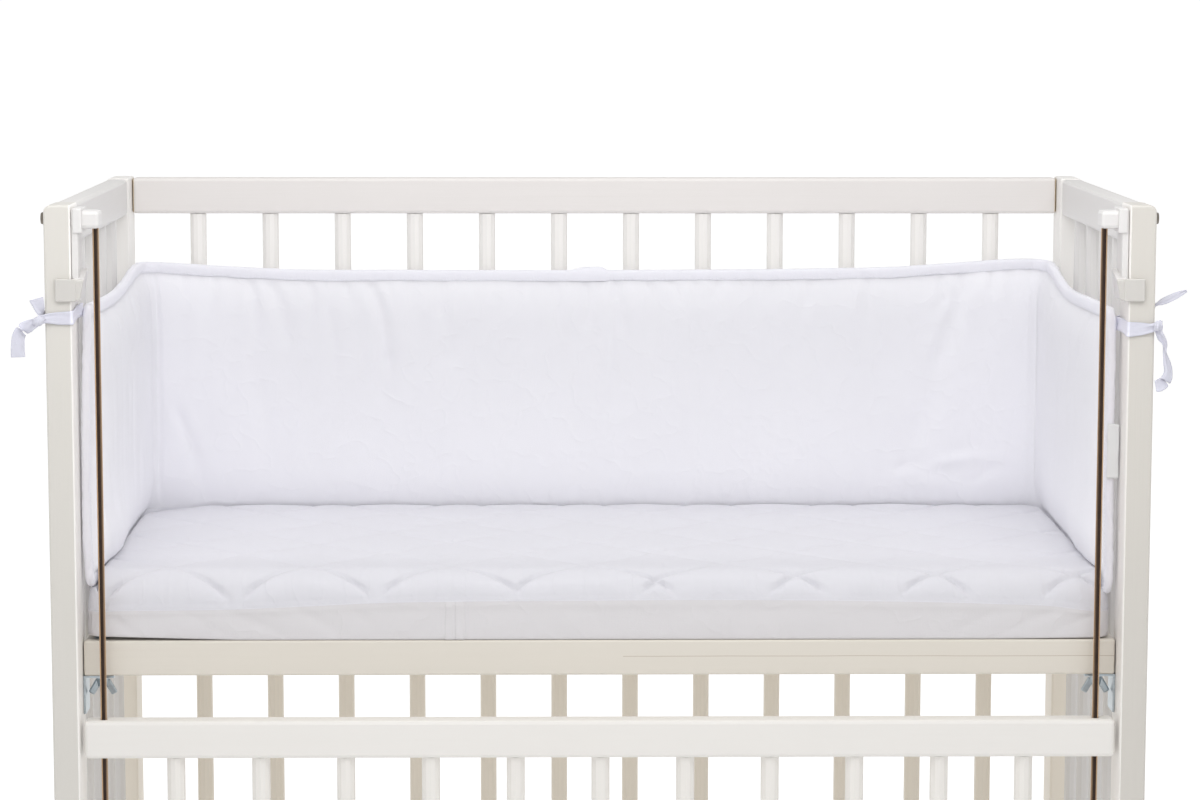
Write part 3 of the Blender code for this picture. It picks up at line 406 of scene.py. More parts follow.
def cloth(
    name, dark, light, thread=0.0005, crease=28.0, crease_depth=0.6, weave_depth=0.12, slubs=0.5, rough=0.88
):
    """A cotton finish. Depths are in millimetres."""
    made, tree, shader = new_material(name, Roughness=rough, Sheen_Weight=0.12, Sheen_Roughness=0.5, IOR=1.4)
    flat = tree.nodes.new("ShaderNodeAttribute")
    flat.attribute_name = "flat_place"
    weave = place_group(tree, woven_cotton, Place=flat.outputs["Vector"], Thread=thread, Slubs=slubs)
    folds = place_group(tree, soft_creases, Place=flat.outputs["Vector"], Scale=crease, Sharp=5.0)
    tree.links.new(mix_colours(tree, weave["Shade"], dark, light), shader.inputs["Base Color"])
    height = calc(tree, "MULTIPLY", folds["Height"], crease_depth)
    height = calc(tree, "MULTIPLY_ADD", weave["Height"], weave_depth, height)
    bump(tree, shader, height, MM)
    return made


# Painted light and shade on a cloth: its colour is made lighter or darker by place.
def painted_shading_along(made, axis, middle, ends, standing=False):
    """Multiply a cloth's colour by a tone that changes with the distance from a middle line.

    The ends are two distances and the tones there. A standing tone goes by the place in the
    crib, any other by the place on the flat cloth.
    """
    tree = made.node_tree
    colour = tree.nodes["Principled BSDF"].inputs["Base Color"]
    if standing:
        place = coordinate(tree)
    else:
        place = next(node for node in tree.nodes if node.type == "ATTRIBUTE").outputs["Vector"]
    distance = calc(tree, "ABSOLUTE", calc(tree, "SUBTRACT", split(tree, place)[axis], middle))
    tone = map_range(tree, distance, *ends)
    tree.links.new(vector_calc(tree, "MULTIPLY", colour.links[0].from_socket, tone), colour)


BUMPER_MIDDLE = 0.8255
bumper_cotton = cloth("bumper_cotton", (0.848, 0.843, 0.880), (0.878, 0.873, 0.910))
tape_cotton = cloth("tape_cotton", (0.79, 0.785, 0.84), (0.83, 0.825, 0.875), 0.0006, 90.0, 0.25, 0.16, 0.8)
tie_cotton = cloth("tie_cotton", (0.68, 0.68, 0.77), (0.73, 0.73, 0.82), 0.0006, 120.0, 0.25, 0.2, 0.8)
mattress_cotton = cloth("mattress_cotton", (0.705, 0.699, 0.742), (0.735, 0.729, 0.772), 0.0005, 45.0, 0.7)
band_cotton = cloth("band_cotton", (0.680, 0.662, 0.676), (0.715, 0.697, 0.712), 0.0006, 22.0, 0.8, 0.14, 0.7)
sewing_thread = cloth("sewing_thread", (0.78, 0.78, 0.83), (0.84, 0.84, 0.89), 0.0003, 300.0, 0.02, 0.03)
label_satin = cloth(
    "label_satin", (0.80, 0.81, 0.82), (0.84, 0.85, 0.86), 0.0003, 200.0, 0.05, 0.05, 0.2, 0.5
)
# Painted shade over the mattress's front shoulder.
painted_shading_along(mattress_cotton, "Y", 0, (0.03, 0.10, 0.93, 1.0))
# Painted shade near the bumper's upper edge, and painted light along its two sides.
painted_shading_along(bumper_cotton, "Y", 0, (0.02, 0.20, 0.915, 1.0))
painted_shading_along(bumper_cotton, "X", BUMPER_MIDDLE, (0.25, 0.47, 1.0, 1.07))
# Painted light on the tape along the crib's two sides.
painted_shading_along(tape_cotton, "X", 0, (0.425, 0.455, 1.0, 1.15), standing=True)
# Painted light on the ties where they run inside the posts.
painted_shading_along(tie_cotton, "X", 0, (0.4542, 0.4552, 1.22, 1.0), standing=True)
print("cloth finishes:", [m.name for m in bpy.data.materials if "cotton" in m.name])

# %% [markdown]
# The crib is sprayed warm white. Grain runs along each piece, so posts, bars, rails and side rails
# get the same recipe with a different stretch. Each kind of piece has its own tone of the paint,
# and three of them are painted light and shade: the drop bars and the back posts and bars are
# painted lighter, the right front post darker. Some pieces change tone on the way: bare rail ends,
# painted light on the inner faces of the front posts, and painted shade, warmed as if by light
# bounced from the board, towards the foot at the back. The mattress board is thinly painted cream
# wood, whose glued joint shows as a fine line on the right half of its front edge.

# %% Wood finishes


def painted_wood(name, stretch, dark, light, grain, worn=(0.80, 0.78, 0.72)):
    """Sprayed wood with a faint grain, and edges where the paint has worn a little."""
    made, tree, shader = new_material(name, IOR=1.48)
    timber = place_group(tree, painted_timber, Stretch=stretch, Grain=grain)
    wear = place_group(tree, edge_wear, Radius=0.0012, Patchy=0.8)
    worn_part = calc(tree, "MULTIPLY", wear["Mask"], 0.35)
    colour = mix_colours(tree, worn_part, mix_colours(tree, timber["Shade"], dark, light), worn)
    tree.links.new(colour, shader.inputs["Base Color"])
    tree.links.new(timber["Sheen"], shader.inputs["Roughness"])
    bump(tree, shader, timber["Height"], PAINT_DEPTH)
    return made


def second_tone(made, axis, untinted, tinted, tint):
    """Multiply the colour by a tint that comes in between two distances from the middle or the floor."""
    tree = made.node_tree
    colour = tree.nodes["Principled BSDF"].inputs["Base Color"]
    distance = calc(tree, "ABSOLUTE", split(tree, coordinate(tree))[axis])
    there = map_range(tree, distance, untinted, tinted, 0, 1)
    tree.links.new(mix_colours(tree, there, colour.links[0].from_socket, tint, "MULTIPLY"), colour)


PAINT_DEPTH, FINE, LONG = 0.0003, 260.0, 7.0
UPRIGHT, SIDEWAYS, INWARDS = (FINE, FINE, LONG), (LONG, FINE, FINE), (FINE, LONG, FINE)
# The drop bars' paint and the back posts' and bars' paint are lighter copies of the crib's white, painted
# light; shaded_paint, on the right front post, is a darker copy, painted shade.
PAINTS = (
    ("upright_paint", UPRIGHT, (0.665, 0.642, 0.600), (0.705, 0.682, 0.640), 0.7),
    ("lit_bar_paint", UPRIGHT, (0.825, 0.800, 0.762), (0.865, 0.840, 0.805), 0.5),
    ("rail_paint", SIDEWAYS, (0.725, 0.695, 0.675), (0.760, 0.730, 0.710), 0.6),
    ("drop_paint", SIDEWAYS, (0.805, 0.783, 0.752), (0.845, 0.823, 0.792), 0.6),
    ("side_paint", INWARDS, (0.705, 0.689, 0.675), (0.740, 0.724, 0.710), 0.5),
    ("lit_rear_paint", UPRIGHT, (0.822, 0.802, 0.774), (0.862, 0.842, 0.814), 0.5),
    ("shaded_paint", UPRIGHT, (0.630, 0.604, 0.560), (0.670, 0.644, 0.600), 0.7),
    (
        "board_paint", (4.0, 140.0, 160.0), (0.690, 0.648, 0.578), (0.735, 0.692, 0.622), 0.8,
        (0.70, 0.62, 0.50),
    ),
)
paint = {row[0]: painted_wood(*row) for row in PAINTS}
RAIL_END, POST_INNER, SUDDEN = 0.4519, 0.4547, 0.0001
second_tone(paint["rail_paint"], "X", RAIL_END - SUDDEN, RAIL_END, (0.70, 0.57, 0.36))
# Painted shade towards the foot of the back posts and bars, warmed as if by light bounced from the board.
second_tone(paint["lit_rear_paint"], "Z", 0.64, 0.42, (1.0, 0.95, 0.86))
# Painted light on the inner faces of the front posts, which the pad shades.
for name in ("upright_paint", "shaded_paint"):
    second_tone(paint[name], "X", POST_INNER + SUDDEN, POST_INNER, (1.36, 1.37, 1.42))

JOINT_DROP, JOINT_HALF, JOINT_START, JOINT_WOBBLE = 0.3978, 0.00028, 0.02, 0.0010
tree = paint["board_paint"].node_tree
do = partial(calc, tree)
colour = tree.nodes["Principled BSDF"].inputs["Base Color"]
place = coordinate(tree)
wobble = noise_value(tree, vector_calc(tree, "MULTIPLY", place, (14, 1, 1)), 1.0, 2.0)
line_height = do("MULTIPLY_ADD", wobble, JOINT_WOBBLE, CRIB_HEIGHT - JOINT_DROP - JOINT_WOBBLE / 2)
parts = split(tree, place)
on_line = do("LESS_THAN", do("ABSOLUTE", do("SUBTRACT", parts["Z"], line_height)), JOINT_HALF)
on_right = do("GREATER_THAN", parts["X"], JOINT_START)
joint_mask = do("MULTIPLY", do("MULTIPLY", on_line, on_right), 0.55)
tree.links.new(mix_colours(tree, joint_mask, colour.links[0].from_socket, (0.34, 0.25, 0.17)), colour)
print("wood finishes:", ", ".join(paint))

# %% [markdown]
# Hard parts: smooth white plastic, zinc plate that has gone a little cloudy, and the lacquered
# steel of the guide rods, dark when faced, with a tan painted highlight towards its rims. The
# floor glows softly behind the crib, like a photographer's lit table.

# %% Plastic and metal finishes


def plain_finish(name, dark, light, scale, rough, metallic, depth, spread=0.12, stretch=(1, 1, 1)):
    made, tree, shader = new_material(name, Metallic=metallic)
    mottle = noise_value(tree, vector_calc(tree, "MULTIPLY", coordinate(tree), stretch), scale, 4.0, 0.6)
    wear = place_group(tree, edge_wear, Radius=0.0006, Patchy=0.6)
    tone = calc(tree, "MULTIPLY_ADD", wear["Mask"], 0.4, mottle, clamp=True)
    tree.links.new(mix_colours(tree, tone, dark, light), shader.inputs["Base Color"])
    tree.links.new(calc(tree, "MULTIPLY_ADD", mottle, spread, rough - spread / 2), shader.inputs["Roughness"])
    bump(tree, shader, mottle, depth)
    return made


white_plastic = plain_finish(
    "moulded_plastic", (0.715, 0.700, 0.692), (0.765, 0.750, 0.742), 60.0, 0.38, 0.0, 0.00008
)
second_tone(white_plastic, "Y", -FRONT_Y, SUDDEN - FRONT_Y, (0.82, 0.81, 0.78))
zinc_plate = plain_finish(
    "zinc_plate", (0.36, 0.42, 0.46), (0.66, 0.72, 0.76), 260.0, 0.34, 1.0, 0.00005, 0.2
)
dull_zinc = plain_finish("dull_zinc", (0.15, 0.13, 0.11), (0.36, 0.33, 0.29), 260.0, 0.45, 1.0, 0.00005, 0.2)
browned_steel = plain_finish(
    "browned_steel", (0.014, 0.008, 0.006), (0.058, 0.036, 0.027), 420.0, 0.34, 0.0, 0.00004, 0.16,
    (1, 1, 0.3),
)
tree = browned_steel.node_tree
shader = tree.nodes["Principled BSDF"]
shader.inputs["IOR"].default_value = 1.25
# Painted highlight: the rods' colour turns tan towards their rims, where they turn away from the view.
facing = tree.nodes.new("ShaderNodeLayerWeight")
facing.inputs["Blend"].default_value = 0.5
rim_highlight = map_range(tree, facing.outputs["Facing"], 0.14, 0.34, 0, 1)
colour = shader.inputs["Base Color"]
tree.links.new(mix_colours(tree, rim_highlight, colour.links[0].from_socket, (0.56, 0.37, 0.22)), colour)

floor_paint, tree, shader = new_material("floor_paint", Roughness=0.9)
place = coordinate(tree)
dust = noise_value(tree, place, 3.0, 3.0)
tree.links.new(mix_colours(tree, dust, (0.80, 0.80, 0.80), (0.83, 0.83, 0.83)), shader.inputs["Base Color"])
shader.inputs["Emission Color"].default_value = (1.0, 1.0, 1.0, 1.0)
glow = map_range(tree, split(tree, place)["Y"], 0.4, 1.4, 0.27, 0.62)
tree.links.new(glow, shader.inputs["Emission Strength"])
floor.data.materials.append(floor_paint)
print("hard finishes ready")

# %% [markdown]
# The crib's own CAD meshes stay. Each node gets its finish by name, through its material slots.

# %% Dress the CAD nodes
FINISHES = (
    (paint["upright_paint"], ("front_post_left",)), (paint["shaded_paint"], ("front_post_right",)),
    (paint["lit_rear_paint"], ("back_post", "back_bar")), (paint["lit_bar_paint"], ("drop_bar",)),
    (paint["side_paint"], ("side_panel",)), (paint["rail_paint"], ("back_top_rail", "back_foot_rail")),
    (paint["drop_paint"], ("drop_top_rail", "drop_foot_rail")), (paint["board_paint"], ("mattress_board",)),
    (dull_zinc, ("corner_bolt",)), (zinc_plate, ("board_bolt", "front_plate", "back_plate", "wing_nut")),
    (browned_steel, ("guide_rod",)), (white_plastic, ("rod_fitting", "rod_shoe")),
)
dressed = 0
for name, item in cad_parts.items():
    for finish, starts in FINISHES:
        if name.startswith(starts):
            for part in item.material_slots:
                part.material = finish
            dressed += 1
print("CAD nodes with a new finish:", dressed)

# %% [markdown]
# ## Meshes from formulas
#
# Every soft piece here is a grid that a formula carries to its place. Working on whole arrays of
# points keeps this quick even for fine grids, and the flat place of each point is stored as an
# attribute, which the cloth finishes read.

# %% Mesh helpers


def new_piece(name, points, faces, flat, finish):
    """A mesh object from arrays of points and faces, with each point's flat place in metres."""
    mesh = bpy.data.meshes.new(name)
    mesh.from_pydata([tuple(p) for p in points], [], [tuple(int(i) for i in face) for face in faces])
    mesh.validate()
    store = mesh.attributes.new("flat_place", "FLOAT_VECTOR", "POINT")
    store.data.foreach_set("vector", np.asarray(flat, np.float32).ravel())
    bm = bmesh.new()
    bm.from_mesh(mesh)
    bmesh.ops.recalc_face_normals(bm, faces=bm.faces)
    bm.to_mesh(mesh)
    bm.free()
    mesh.shade_smooth()
    mesh.materials.append(finish)
    made = bpy.data.objects.new(name, mesh)
    bpy.context.scene.collection.objects.link(made)
    return made


def grid_faces(rows, columns, start=0, wrap_columns=False):
    """Quads of a grid of points that is stored row by row."""
    last = columns if wrap_columns else columns - 1
    r, c = np.meshgrid(np.arange(rows - 1), np.arange(last), indexing="ij")
    after = (c + 1) % columns
    near, far = r * columns, (r + 1) * columns
    return np.stack([near + c, near + after, far + after, far + c], axis=-1).reshape(-1, 4) + start


def outer_ring(rows, columns):
    """The numbers of the points round a grid's edge, in order."""
    index = np.arange(rows * columns).reshape(rows, columns)
    return np.concatenate([index[0, :], index[1:, -1], index[-1, -2::-1], index[-2:0:-1, 0]])


def two_sided(name, inner, outer, flat, finish):
    """A closed shell from two grids of points of the same shape, joined round their edges."""
    rows, columns, _ = inner.shape
    count = rows * columns
    faces = [grid_faces(rows, columns), grid_faces(rows, columns, count)[:, ::-1]]
    ring = outer_ring(rows, columns)
    after = np.roll(ring, -1)
    faces.append(np.stack([ring, ring + count, after + count, after], axis=-1))
    points = np.concatenate([inner.reshape(-1, 3), outer.reshape(-1, 3)])
    places = np.concatenate([flat.reshape(-1, 3), flat.reshape(-1, 3)])
    return new_piece(name, points, np.concatenate(faces), places, finish)


print("mesh helpers ready")

# %% [markdown]
# Cloth is never quite even. Its slow changes along an edge are read off the photo as short tables,
# and a smooth curve runs through their rows. Its lumps are seeded noise, so they come out the same
# every time, and an easing curve holds them down near a sewn line.

# %% Curve and noise helpers


def smooth_table(table, place):
    """A smooth curve through rows of (place, value)."""
    keys, values = np.array(table, float).T
    slopes = np.gradient(values, keys)
    place = np.clip(place, keys[0], keys[-1])
    k = np.clip(np.searchsorted(keys, place, side="right") - 1, 0, len(keys) - 2)
    gap = keys[k + 1] - keys[k]
    t = (place - keys[k]) / gap
    return (
        values[k] * (1 + 2 * t) * (1 - t) ** 2
        + values[k + 1] * t**2 * (3 - 2 * t)
        + gap * slopes[k] * t * (1 - t) ** 2
        - gap * slopes[k + 1] * t**2 * (1 - t)
    )


NOISE_COLUMNS, NOISE_ROWS = 97, 89


def value_noise(x, y, seed):
    """Smooth noise from -1 to 1 over two arrays; one unit of x or y is one wave."""
    seeds = np.random.default_rng(seed).uniform(-1, 1, (NOISE_COLUMNS, NOISE_ROWS))
    column, row = np.floor(x).astype(int), np.floor(y).astype(int)
    u, v = x - column, y - row
    u, v = u * u * (3 - 2 * u), v * v * (3 - 2 * v)

    def corner(dx, dy):
        return seeds[(column + dx) % NOISE_COLUMNS, (row + dy) % NOISE_ROWS]

    near = corner(0, 0) * (1 - u) + corner(1, 0) * u
    far = corner(0, 1) * (1 - u) + corner(1, 1) * u
    return near * (1 - v) + far * v


def noise_along(run, waves, seed, shift=0):
    """The same noise along one line, with this many waves a metre."""
    return value_noise(run * waves, run * 0 + shift, seed)


def ease(distance, reach, power=2.4):
    """0 at a sewn line, rising to 1 at this reach from it."""
    return 1 - (1 - np.clip(distance / reach, 0, 1)) ** power


print("half way to its reach, a swell stands at", round(float(ease(0.5, 1.0)), 3))

# %% [markdown]
# ## The bumper's surface
#
# The bumper is one long pad: two cotton faces with wadding between them, sewn all round under a
# folded tape. Laid out flat it is a strip of 1.65 m. Its middle line runs up one side of the
# crib, round a soft corner, across the back and down the other side. So each point of it has a
# place along the strip and a distance below its upper edge, and a formula bends the strip.

# %% The bumper's middle surface
SIDE_MID, BACK_MID, FRONT_END, FOLD_RADIUS = 0.4445, 0.421, 0.0315, 0.020
EDGE_HALF, INNER_CROWN, OUTER_CROWN = 0.0024, 0.0078, 0.0038
FLANGE, CORNER_ROUND, PAD_FOOT, TAPE_CAP = 0.0095, 0.012, 0.3355, 0.0014
SIDE_LENGTH = BACK_MID - FOLD_RADIUS - FRONT_END
ARC_LENGTH = FOLD_RADIUS * math.pi / 2
PAD_LENGTH = 2 * (SIDE_LENGTH + ARC_LENGTH + SIDE_MID - FOLD_RADIUS)
HALF = PAD_LENGTH / 2
LEFT_FOLD = SIDE_LENGTH + FOLD_RADIUS * math.radians(66)
RIGHT_FOLD = PAD_LENGTH - SIDE_LENGTH - FOLD_RADIUS * math.radians(45)
TOP_LEFT = (
    (0.000, 0.0880), (0.055, 0.0893), (0.110, 0.0912), (0.165, 0.0920),
    (0.215, 0.0908), (0.265, 0.0875), (0.315, 0.0825), (0.370, 0.0815),
)
TOP_BACK = (
    (-0.424, 0.0830), (-0.367, 0.0865), (-0.300, 0.0898), (-0.190, 0.0905), (-0.050, 0.0908),
    (0.060, 0.0905), (0.220, 0.0891), (0.300, 0.0872), (0.358, 0.0832), (0.424, 0.0795),
)
TOP_RIGHT = (
    (0.370, 0.0805), (0.345, 0.0825), (0.300, 0.0900), (0.255, 0.0950),
    (0.200, 0.0955), (0.135, 0.0938), (0.070, 0.0924), (0.000, 0.0915),
)
TOP_LINE = (
    TOP_LEFT
    + tuple((HALF + x, drop) for x, drop in TOP_BACK)
    + tuple((PAD_LENGTH - end, drop) for end, drop in TOP_RIGHT)
)
FOOT_RIGHT = ((0.000, 0.0080), (0.030, 0.0050), (0.075, 0.0005), (0.370, 0.0), (0.5, 0.0))


def plan(along):
    """x, depth and the inward direction of the strip's middle line at each place along it."""
    run = np.minimum(along, PAD_LENGTH - along)
    mirror = np.where(along <= HALF, 1.0, -1.0)
    turned = np.clip((run - SIDE_LENGTH) / FOLD_RADIUS, 0, math.pi / 2)
    inward_x, inward_y = np.cos(turned), -np.sin(turned)
    x = -SIDE_MID + FOLD_RADIUS * (1 - inward_x) + np.maximum(run - SIDE_LENGTH - ARC_LENGTH, 0)
    depth = FRONT_END + np.minimum(run, SIDE_LENGTH) - FOLD_RADIUS * inward_y
    return mirror * x, depth, mirror * inward_x, inward_y


def top_drop(along):
    return smooth_table(TOP_LINE, along) + TAPE_CAP


def foot_drop(along):
    return PAD_FOOT + smooth_table(FOOT_RIGHT, PAD_LENGTH - along)


# How far the two front ends lean out towards the posts, at places below the upper edge.
LEAN_LEFT = ((0.0, 0.0006), (0.02, 0.0009), (0.08, 0.0028), (0.13, 0.0037), (0.21, 0.0038), (0.25, 0.0016))
LEAN_RIGHT = ((0.0, 0.0004), (0.05, 0.0006), (0.14, 0.0008), (0.20, 0.0018), (0.23, 0.0022), (0.25, 0.0012))
LEAN_REACH = 0.032


def middle_point(along, from_top):
    x, depth, inward_x, inward_y = plan(along)
    inward = np.stack([inward_x, inward_y, np.zeros_like(inward_x)], axis=-1)
    lean = smooth_table(LEAN_LEFT, from_top) * np.exp(-((along / LEAN_REACH) ** 2))
    lean = lean + smooth_table(LEAN_RIGHT, from_top) * np.exp(-(((PAD_LENGTH - along) / LEAN_REACH) ** 2))
    return at(x, depth, top_drop(along) + from_top) - inward * lean[..., None], inward


print("bumper strip:", round(PAD_LENGTH, 3), "m long")
print("folds at", round(LEFT_FOLD, 3), "and", round(RIGHT_FOLD, 3), "m")

# %% [markdown]
# The cloth is a little longer than the tape that holds it, so it gathers: short puckers hang from
# the tape, and a few long soft creases run further down. The larger ones are listed one by one, as
# lines with a depth and a width. Many small ones between them come from a seeded random table.

# %% Listed creases
# Each row: place along and drop below the upper edge at both ends, depth and half width, in mm.
# Places along are x on the back. A negative depth is a raised ridge.
BACK_CREASES = (
    (-403, 10, -402, 28, 1.1, 4), (-373, 12, -378, 40, 1.2, 5), (-338, 10, -333, 66, 1.6, 5),
    (-319, 10, -301, 66, 1.4, 6), (-282, 10, -276, 38, 1.3, 5), (-276, 38, -283, 54, 0.9, 5),
    (-262, 34, -258, 106, 0.9, 6), (-247, 10, -240, 30, 1.2, 4), (-220, 12, -205, 86, 2.3, 6),
    (-205, 86, -209, 120, 1.1, 7), (-194, 14, -190, 74, -0.8, 9), (-149, 10, -151, 40, 1.2, 5),
    (-150, 36, -146, 82, 0.6, 7), (-43, 10, -35, 88, 0.8, 7), (-10, 10, -8, 50, 1.5, 5),
    (19, 10, 17, 40, 1.8, 4), (24, 14, 24, 50, 1.2, 5), (17, 34, 9, 122, -0.9, 5),
    (27, 40, 22, 130, 0.8, 8), (50, 10, 59, 26, 1.2, 4), (74, 10, 83, 26, 1.3, 4),
    (95, 10, 104, 28, 1.3, 4), (121, 10, 117, 24, 1.2, 4), (127, 16, 127, 52, -0.8, 7),
    (155, 10, 157, 36, 1.1, 4), (208, 14, 205, 36, 1.0, 5), (212, 40, 195, 120, -0.6, 8),
    (267, 10, 267, 44, 1.2, 5), (337, 10, 341, 34, 1.2, 4), (341, 34, 333, 44, 0.9, 5),
    (360, 10, 337, 90, 1.3, 7), (337, 90, 307, 190, 0.8, 10), (370, 8, 365, 28, 1.0, 4),
    (387, 8, 391, 26, 1.1, 4), (405, 10, 412, 34, 1.0, 5), (-410, 146, -389, 226, 1.1, 6),
    (297, 198, 328, 193, 0.9, 5), (345, 194, 407, 197, -0.8, 6), (377, 214, 401, 200, 0.7, 5),
    (330, 205, 372, 214, 0.7, 7), (-330, 120, -318, 226, 0.5, 14), (110, 120, 85, 220, 0.5, 16),
)
# On the sides, places along are distances from the front end.
LEFT_CREASES = (
    (160, 14, 230, 70, 1.2, 8), (230, 70, 205, 186, 1.3, 10), (300, 30, 350, 110, 1.2, 8),
    (350, 110, 340, 220, 0.9, 9), (255, 20, 292, 140, 1.0, 9), (100, 20, 120, 150, 0.8, 12),
    (60, 150, 96, 226, 0.9, 8), (30, 170, 60, 226, 0.9, 7), (310, 170, 300, 226, 0.8, 8),
    (150, 24, 140, 200, 0.9, 7), (192, 36, 184, 214, 1.0, 7), (226, 100, 220, 225, 0.9, 6),
    (264, 24, 270, 200, 1.0, 7), (324, 60, 318, 225, 0.9, 6), (84, 30, 70, 190, 0.8, 8),
)
RIGHT_CREASES = (
    (185, 50, 234, 110, 1.2, 9), (95, 16, 190, 96, 1.0, 8), (292, 14, 298, 60, 1.0, 6),
    (250, 90, 262, 200, 0.9, 12), (140, 90, 160, 210, 0.7, 12), (330, 30, 340, 160, 0.8, 9),
)
BACK_ZERO, RIGHT_ZERO = HALF * 1000, PAD_LENGTH * 1000
CREASE_ROWS = [(BACK_ZERO + row[0], row[1], BACK_ZERO + row[2], *row[3:]) for row in BACK_CREASES]
CREASE_ROWS += LEFT_CREASES
CREASE_ROWS += [(RIGHT_ZERO - row[0], row[1], RIGHT_ZERO - row[2], *row[3:]) for row in RIGHT_CREASES]
print("hand-placed creases:", len(CREASE_ROWS))

# %% [markdown]
# A crease is a valley with a low rim on each side, a little bent, and it fades towards its far
# end. A gather is deepest at the seam it hangs from, and widens as it dies away below it.

# %% Crease and gather helpers
SMALL_GATHERS = 330
# Small gathers: least and most depth, reach and half width in mm, and lean.
GATHER_DEPTH, GATHER_REACH, GATHER_WIDTH, GATHER_LEAN = (0.2, 1.05), (5, 20), (1.6, 3.4), (-0.35, 0.35)
RIM_AT, RIM_HEIGHT = 1.9, 0.32


def crease_relief(along, from_top):
    """How deep the listed creases press the cloth in, with low rims beside them, in metres."""
    depth = np.zeros_like(along)
    for row in CREASE_ROWS:
        a0, t0, a1, t1, deep, wide = (value * MM for value in row)
        run_a, run_t = a1 - a0, t1 - t0
        length = math.hypot(run_a, run_t)
        near = np.abs(along - (a0 + a1) / 2) < length / 2 + 5 * wide
        a, t = along[near], from_top[near]
        share = ((a - a0) * run_a + (t - t0) * run_t) / length**2
        across = ((a - a0) * run_t - (t - t0) * run_a) / length
        bend = 0.10 * length * np.sin(math.pi * np.clip(share, 0, 1)) * 0.5
        past = np.maximum(np.maximum(-share, share - 1), 0) * length
        grow = wide * (0.75 + 0.6 * np.clip(share, 0, 1))
        valley = np.exp(-(((across - bend) / grow) ** 2))
        rims = sum(np.exp(-(((across - bend + side * RIM_AT * grow) / grow) ** 2)) for side in (-1, 1))
        fade = np.exp(-((past / (1.2 * wide)) ** 2)) * (1 - 0.45 * np.clip(share, 0, 1))
        depth[near] += deep * fade * (valley - RIM_HEIGHT * rims)
    return depth


def gather_relief(along, from_edge, seed, count=SMALL_GATHERS, length=PAD_LENGTH):
    """Small random puckers that hang from a sewn edge."""
    chance = np.random.default_rng(seed)
    depth = np.zeros_like(along)
    places = (np.arange(count) + chance.uniform(0.1, 0.9, count)) * length / count
    for place in places:
        deep, reach = chance.uniform(*GATHER_DEPTH) * MM, chance.uniform(*GATHER_REACH) * MM
        wide, lean = chance.uniform(*GATHER_WIDTH) * MM, chance.uniform(*GATHER_LEAN)
        near = (np.abs(along - place) < 0.03) & (from_edge < 0.1)
        a, e = along[near], from_edge[near]
        across = (a - place - lean * e) / (wide * (1 + 20 * e))
        depth[near] += deep * np.exp(-e / reach) * np.exp(-(across**2))
    return depth


print("small gathers along each long edge:", SMALL_GATHERS)

# %% [markdown]
# Now the pad itself. Both faces swell between the tape and pull in at the two corner folds. The
# inner face is full and carries the creases, the outer face is flatter because it leans on the
# bars. A square corner of the strip is turned into a round one by moving its points on circles.

# %% Shapes of the pad
PAD_COLUMNS, PAD_ROWS, PAD_DENSER = 520, 78, 0.035
TOP_REACH, FOOT_REACH, END_REACH, START_REACH = 0.040, 0.042, 0.045, 0.013
FOLD_REACH, FOLD_KEPT, FOLD_REST = 0.012, 0.66, 0.34
SEAM_DEPTH, SEAM_HALF, SEAM_BOW = 0.8 * MM, 0.0020, 0.006
SEWN_FROM, SEWN_REACH, SEWN_POWER = 0.006, 0.012, 1.5


def rounded(first, second, radius):
    """Distances from two edges, moved so that a square corner becomes a round one."""
    a, b = np.clip(1 - first / radius, 0, 1), np.clip(1 - second / radius, 0, 1)
    both = (a > 0) & (b > 0)
    new_first = np.where(both, radius * (1 - a * np.sqrt(1 - b * b / 2)), first)
    new_second = np.where(both, radius * (1 - b * np.sqrt(1 - a * a / 2)), second)
    return new_first, new_second


def pad_grid(columns, rows):
    """Place along, distance from the top and from the foot for a grid over the strip."""
    along = np.linspace(0, PAD_LENGTH, columns)[None, :] * np.ones((rows, 1))
    height = foot_drop(along) - top_drop(along)
    share = np.linspace(0, 1, rows)[:, None]
    share = share - PAD_DENSER * np.sin(2 * math.pi * share)
    from_top = share * height
    from_end = np.minimum(along, PAD_LENGTH - along)
    new_end, new_top = rounded(from_end, from_top, CORNER_ROUND)
    new_end, new_foot = rounded(new_end, height - new_top, CORNER_ROUND)
    moved = along + np.where(along < HALF, 1.0, -1.0) * (new_end - from_end)
    return moved, height - new_foot, new_foot


def fullness(along, from_top, from_foot):
    """How far each face has swelled, from 0 under the tape to 1."""
    from_end = np.minimum(along, PAD_LENGTH - along)
    full = ease(from_top - FLANGE, TOP_REACH) * ease(from_foot - FLANGE, FOOT_REACH)
    full = full * ease(from_end - FLANGE, END_REACH)
    start = np.clip((from_top - FLANGE + 0.002) / START_REACH, 0, 1)
    full = full * start * (2 - start)
    for fold in (LEFT_FOLD, RIGHT_FOLD):
        full = full * (FOLD_KEPT + FOLD_REST * ease(np.abs(along - fold), FOLD_REACH))
    return full


# How far the pad's belly hangs over the mattress, by distance from each front end. It starts just
# above the mattress top and hugs it.
BELLY_FOOT, BELLY_RISE, BELLY_LEVEL, BELLY_FADE = 0.3241, 0.0026, 0.011, 0.035
BELLY_LEFT = (
    (0.0, 0.0015), (0.023, 0.0030), (0.063, 0.0048), (0.108, 0.0075), (0.150, 0.0055),
    (0.198, 0.0025), (0.260, 0.0010), (0.310, 0.0008), (0.360, 0.0022), (0.400, 0.0),
)
BELLY_RIGHT = (
    (0.0, 0.0025), (0.027, 0.0038), (0.078, 0.0065), (0.138, 0.0060), (0.188, 0.0032),
    (0.260, 0.0025), (0.310, 0.0012), (0.360, 0.0004), (0.400, 0.0),
)


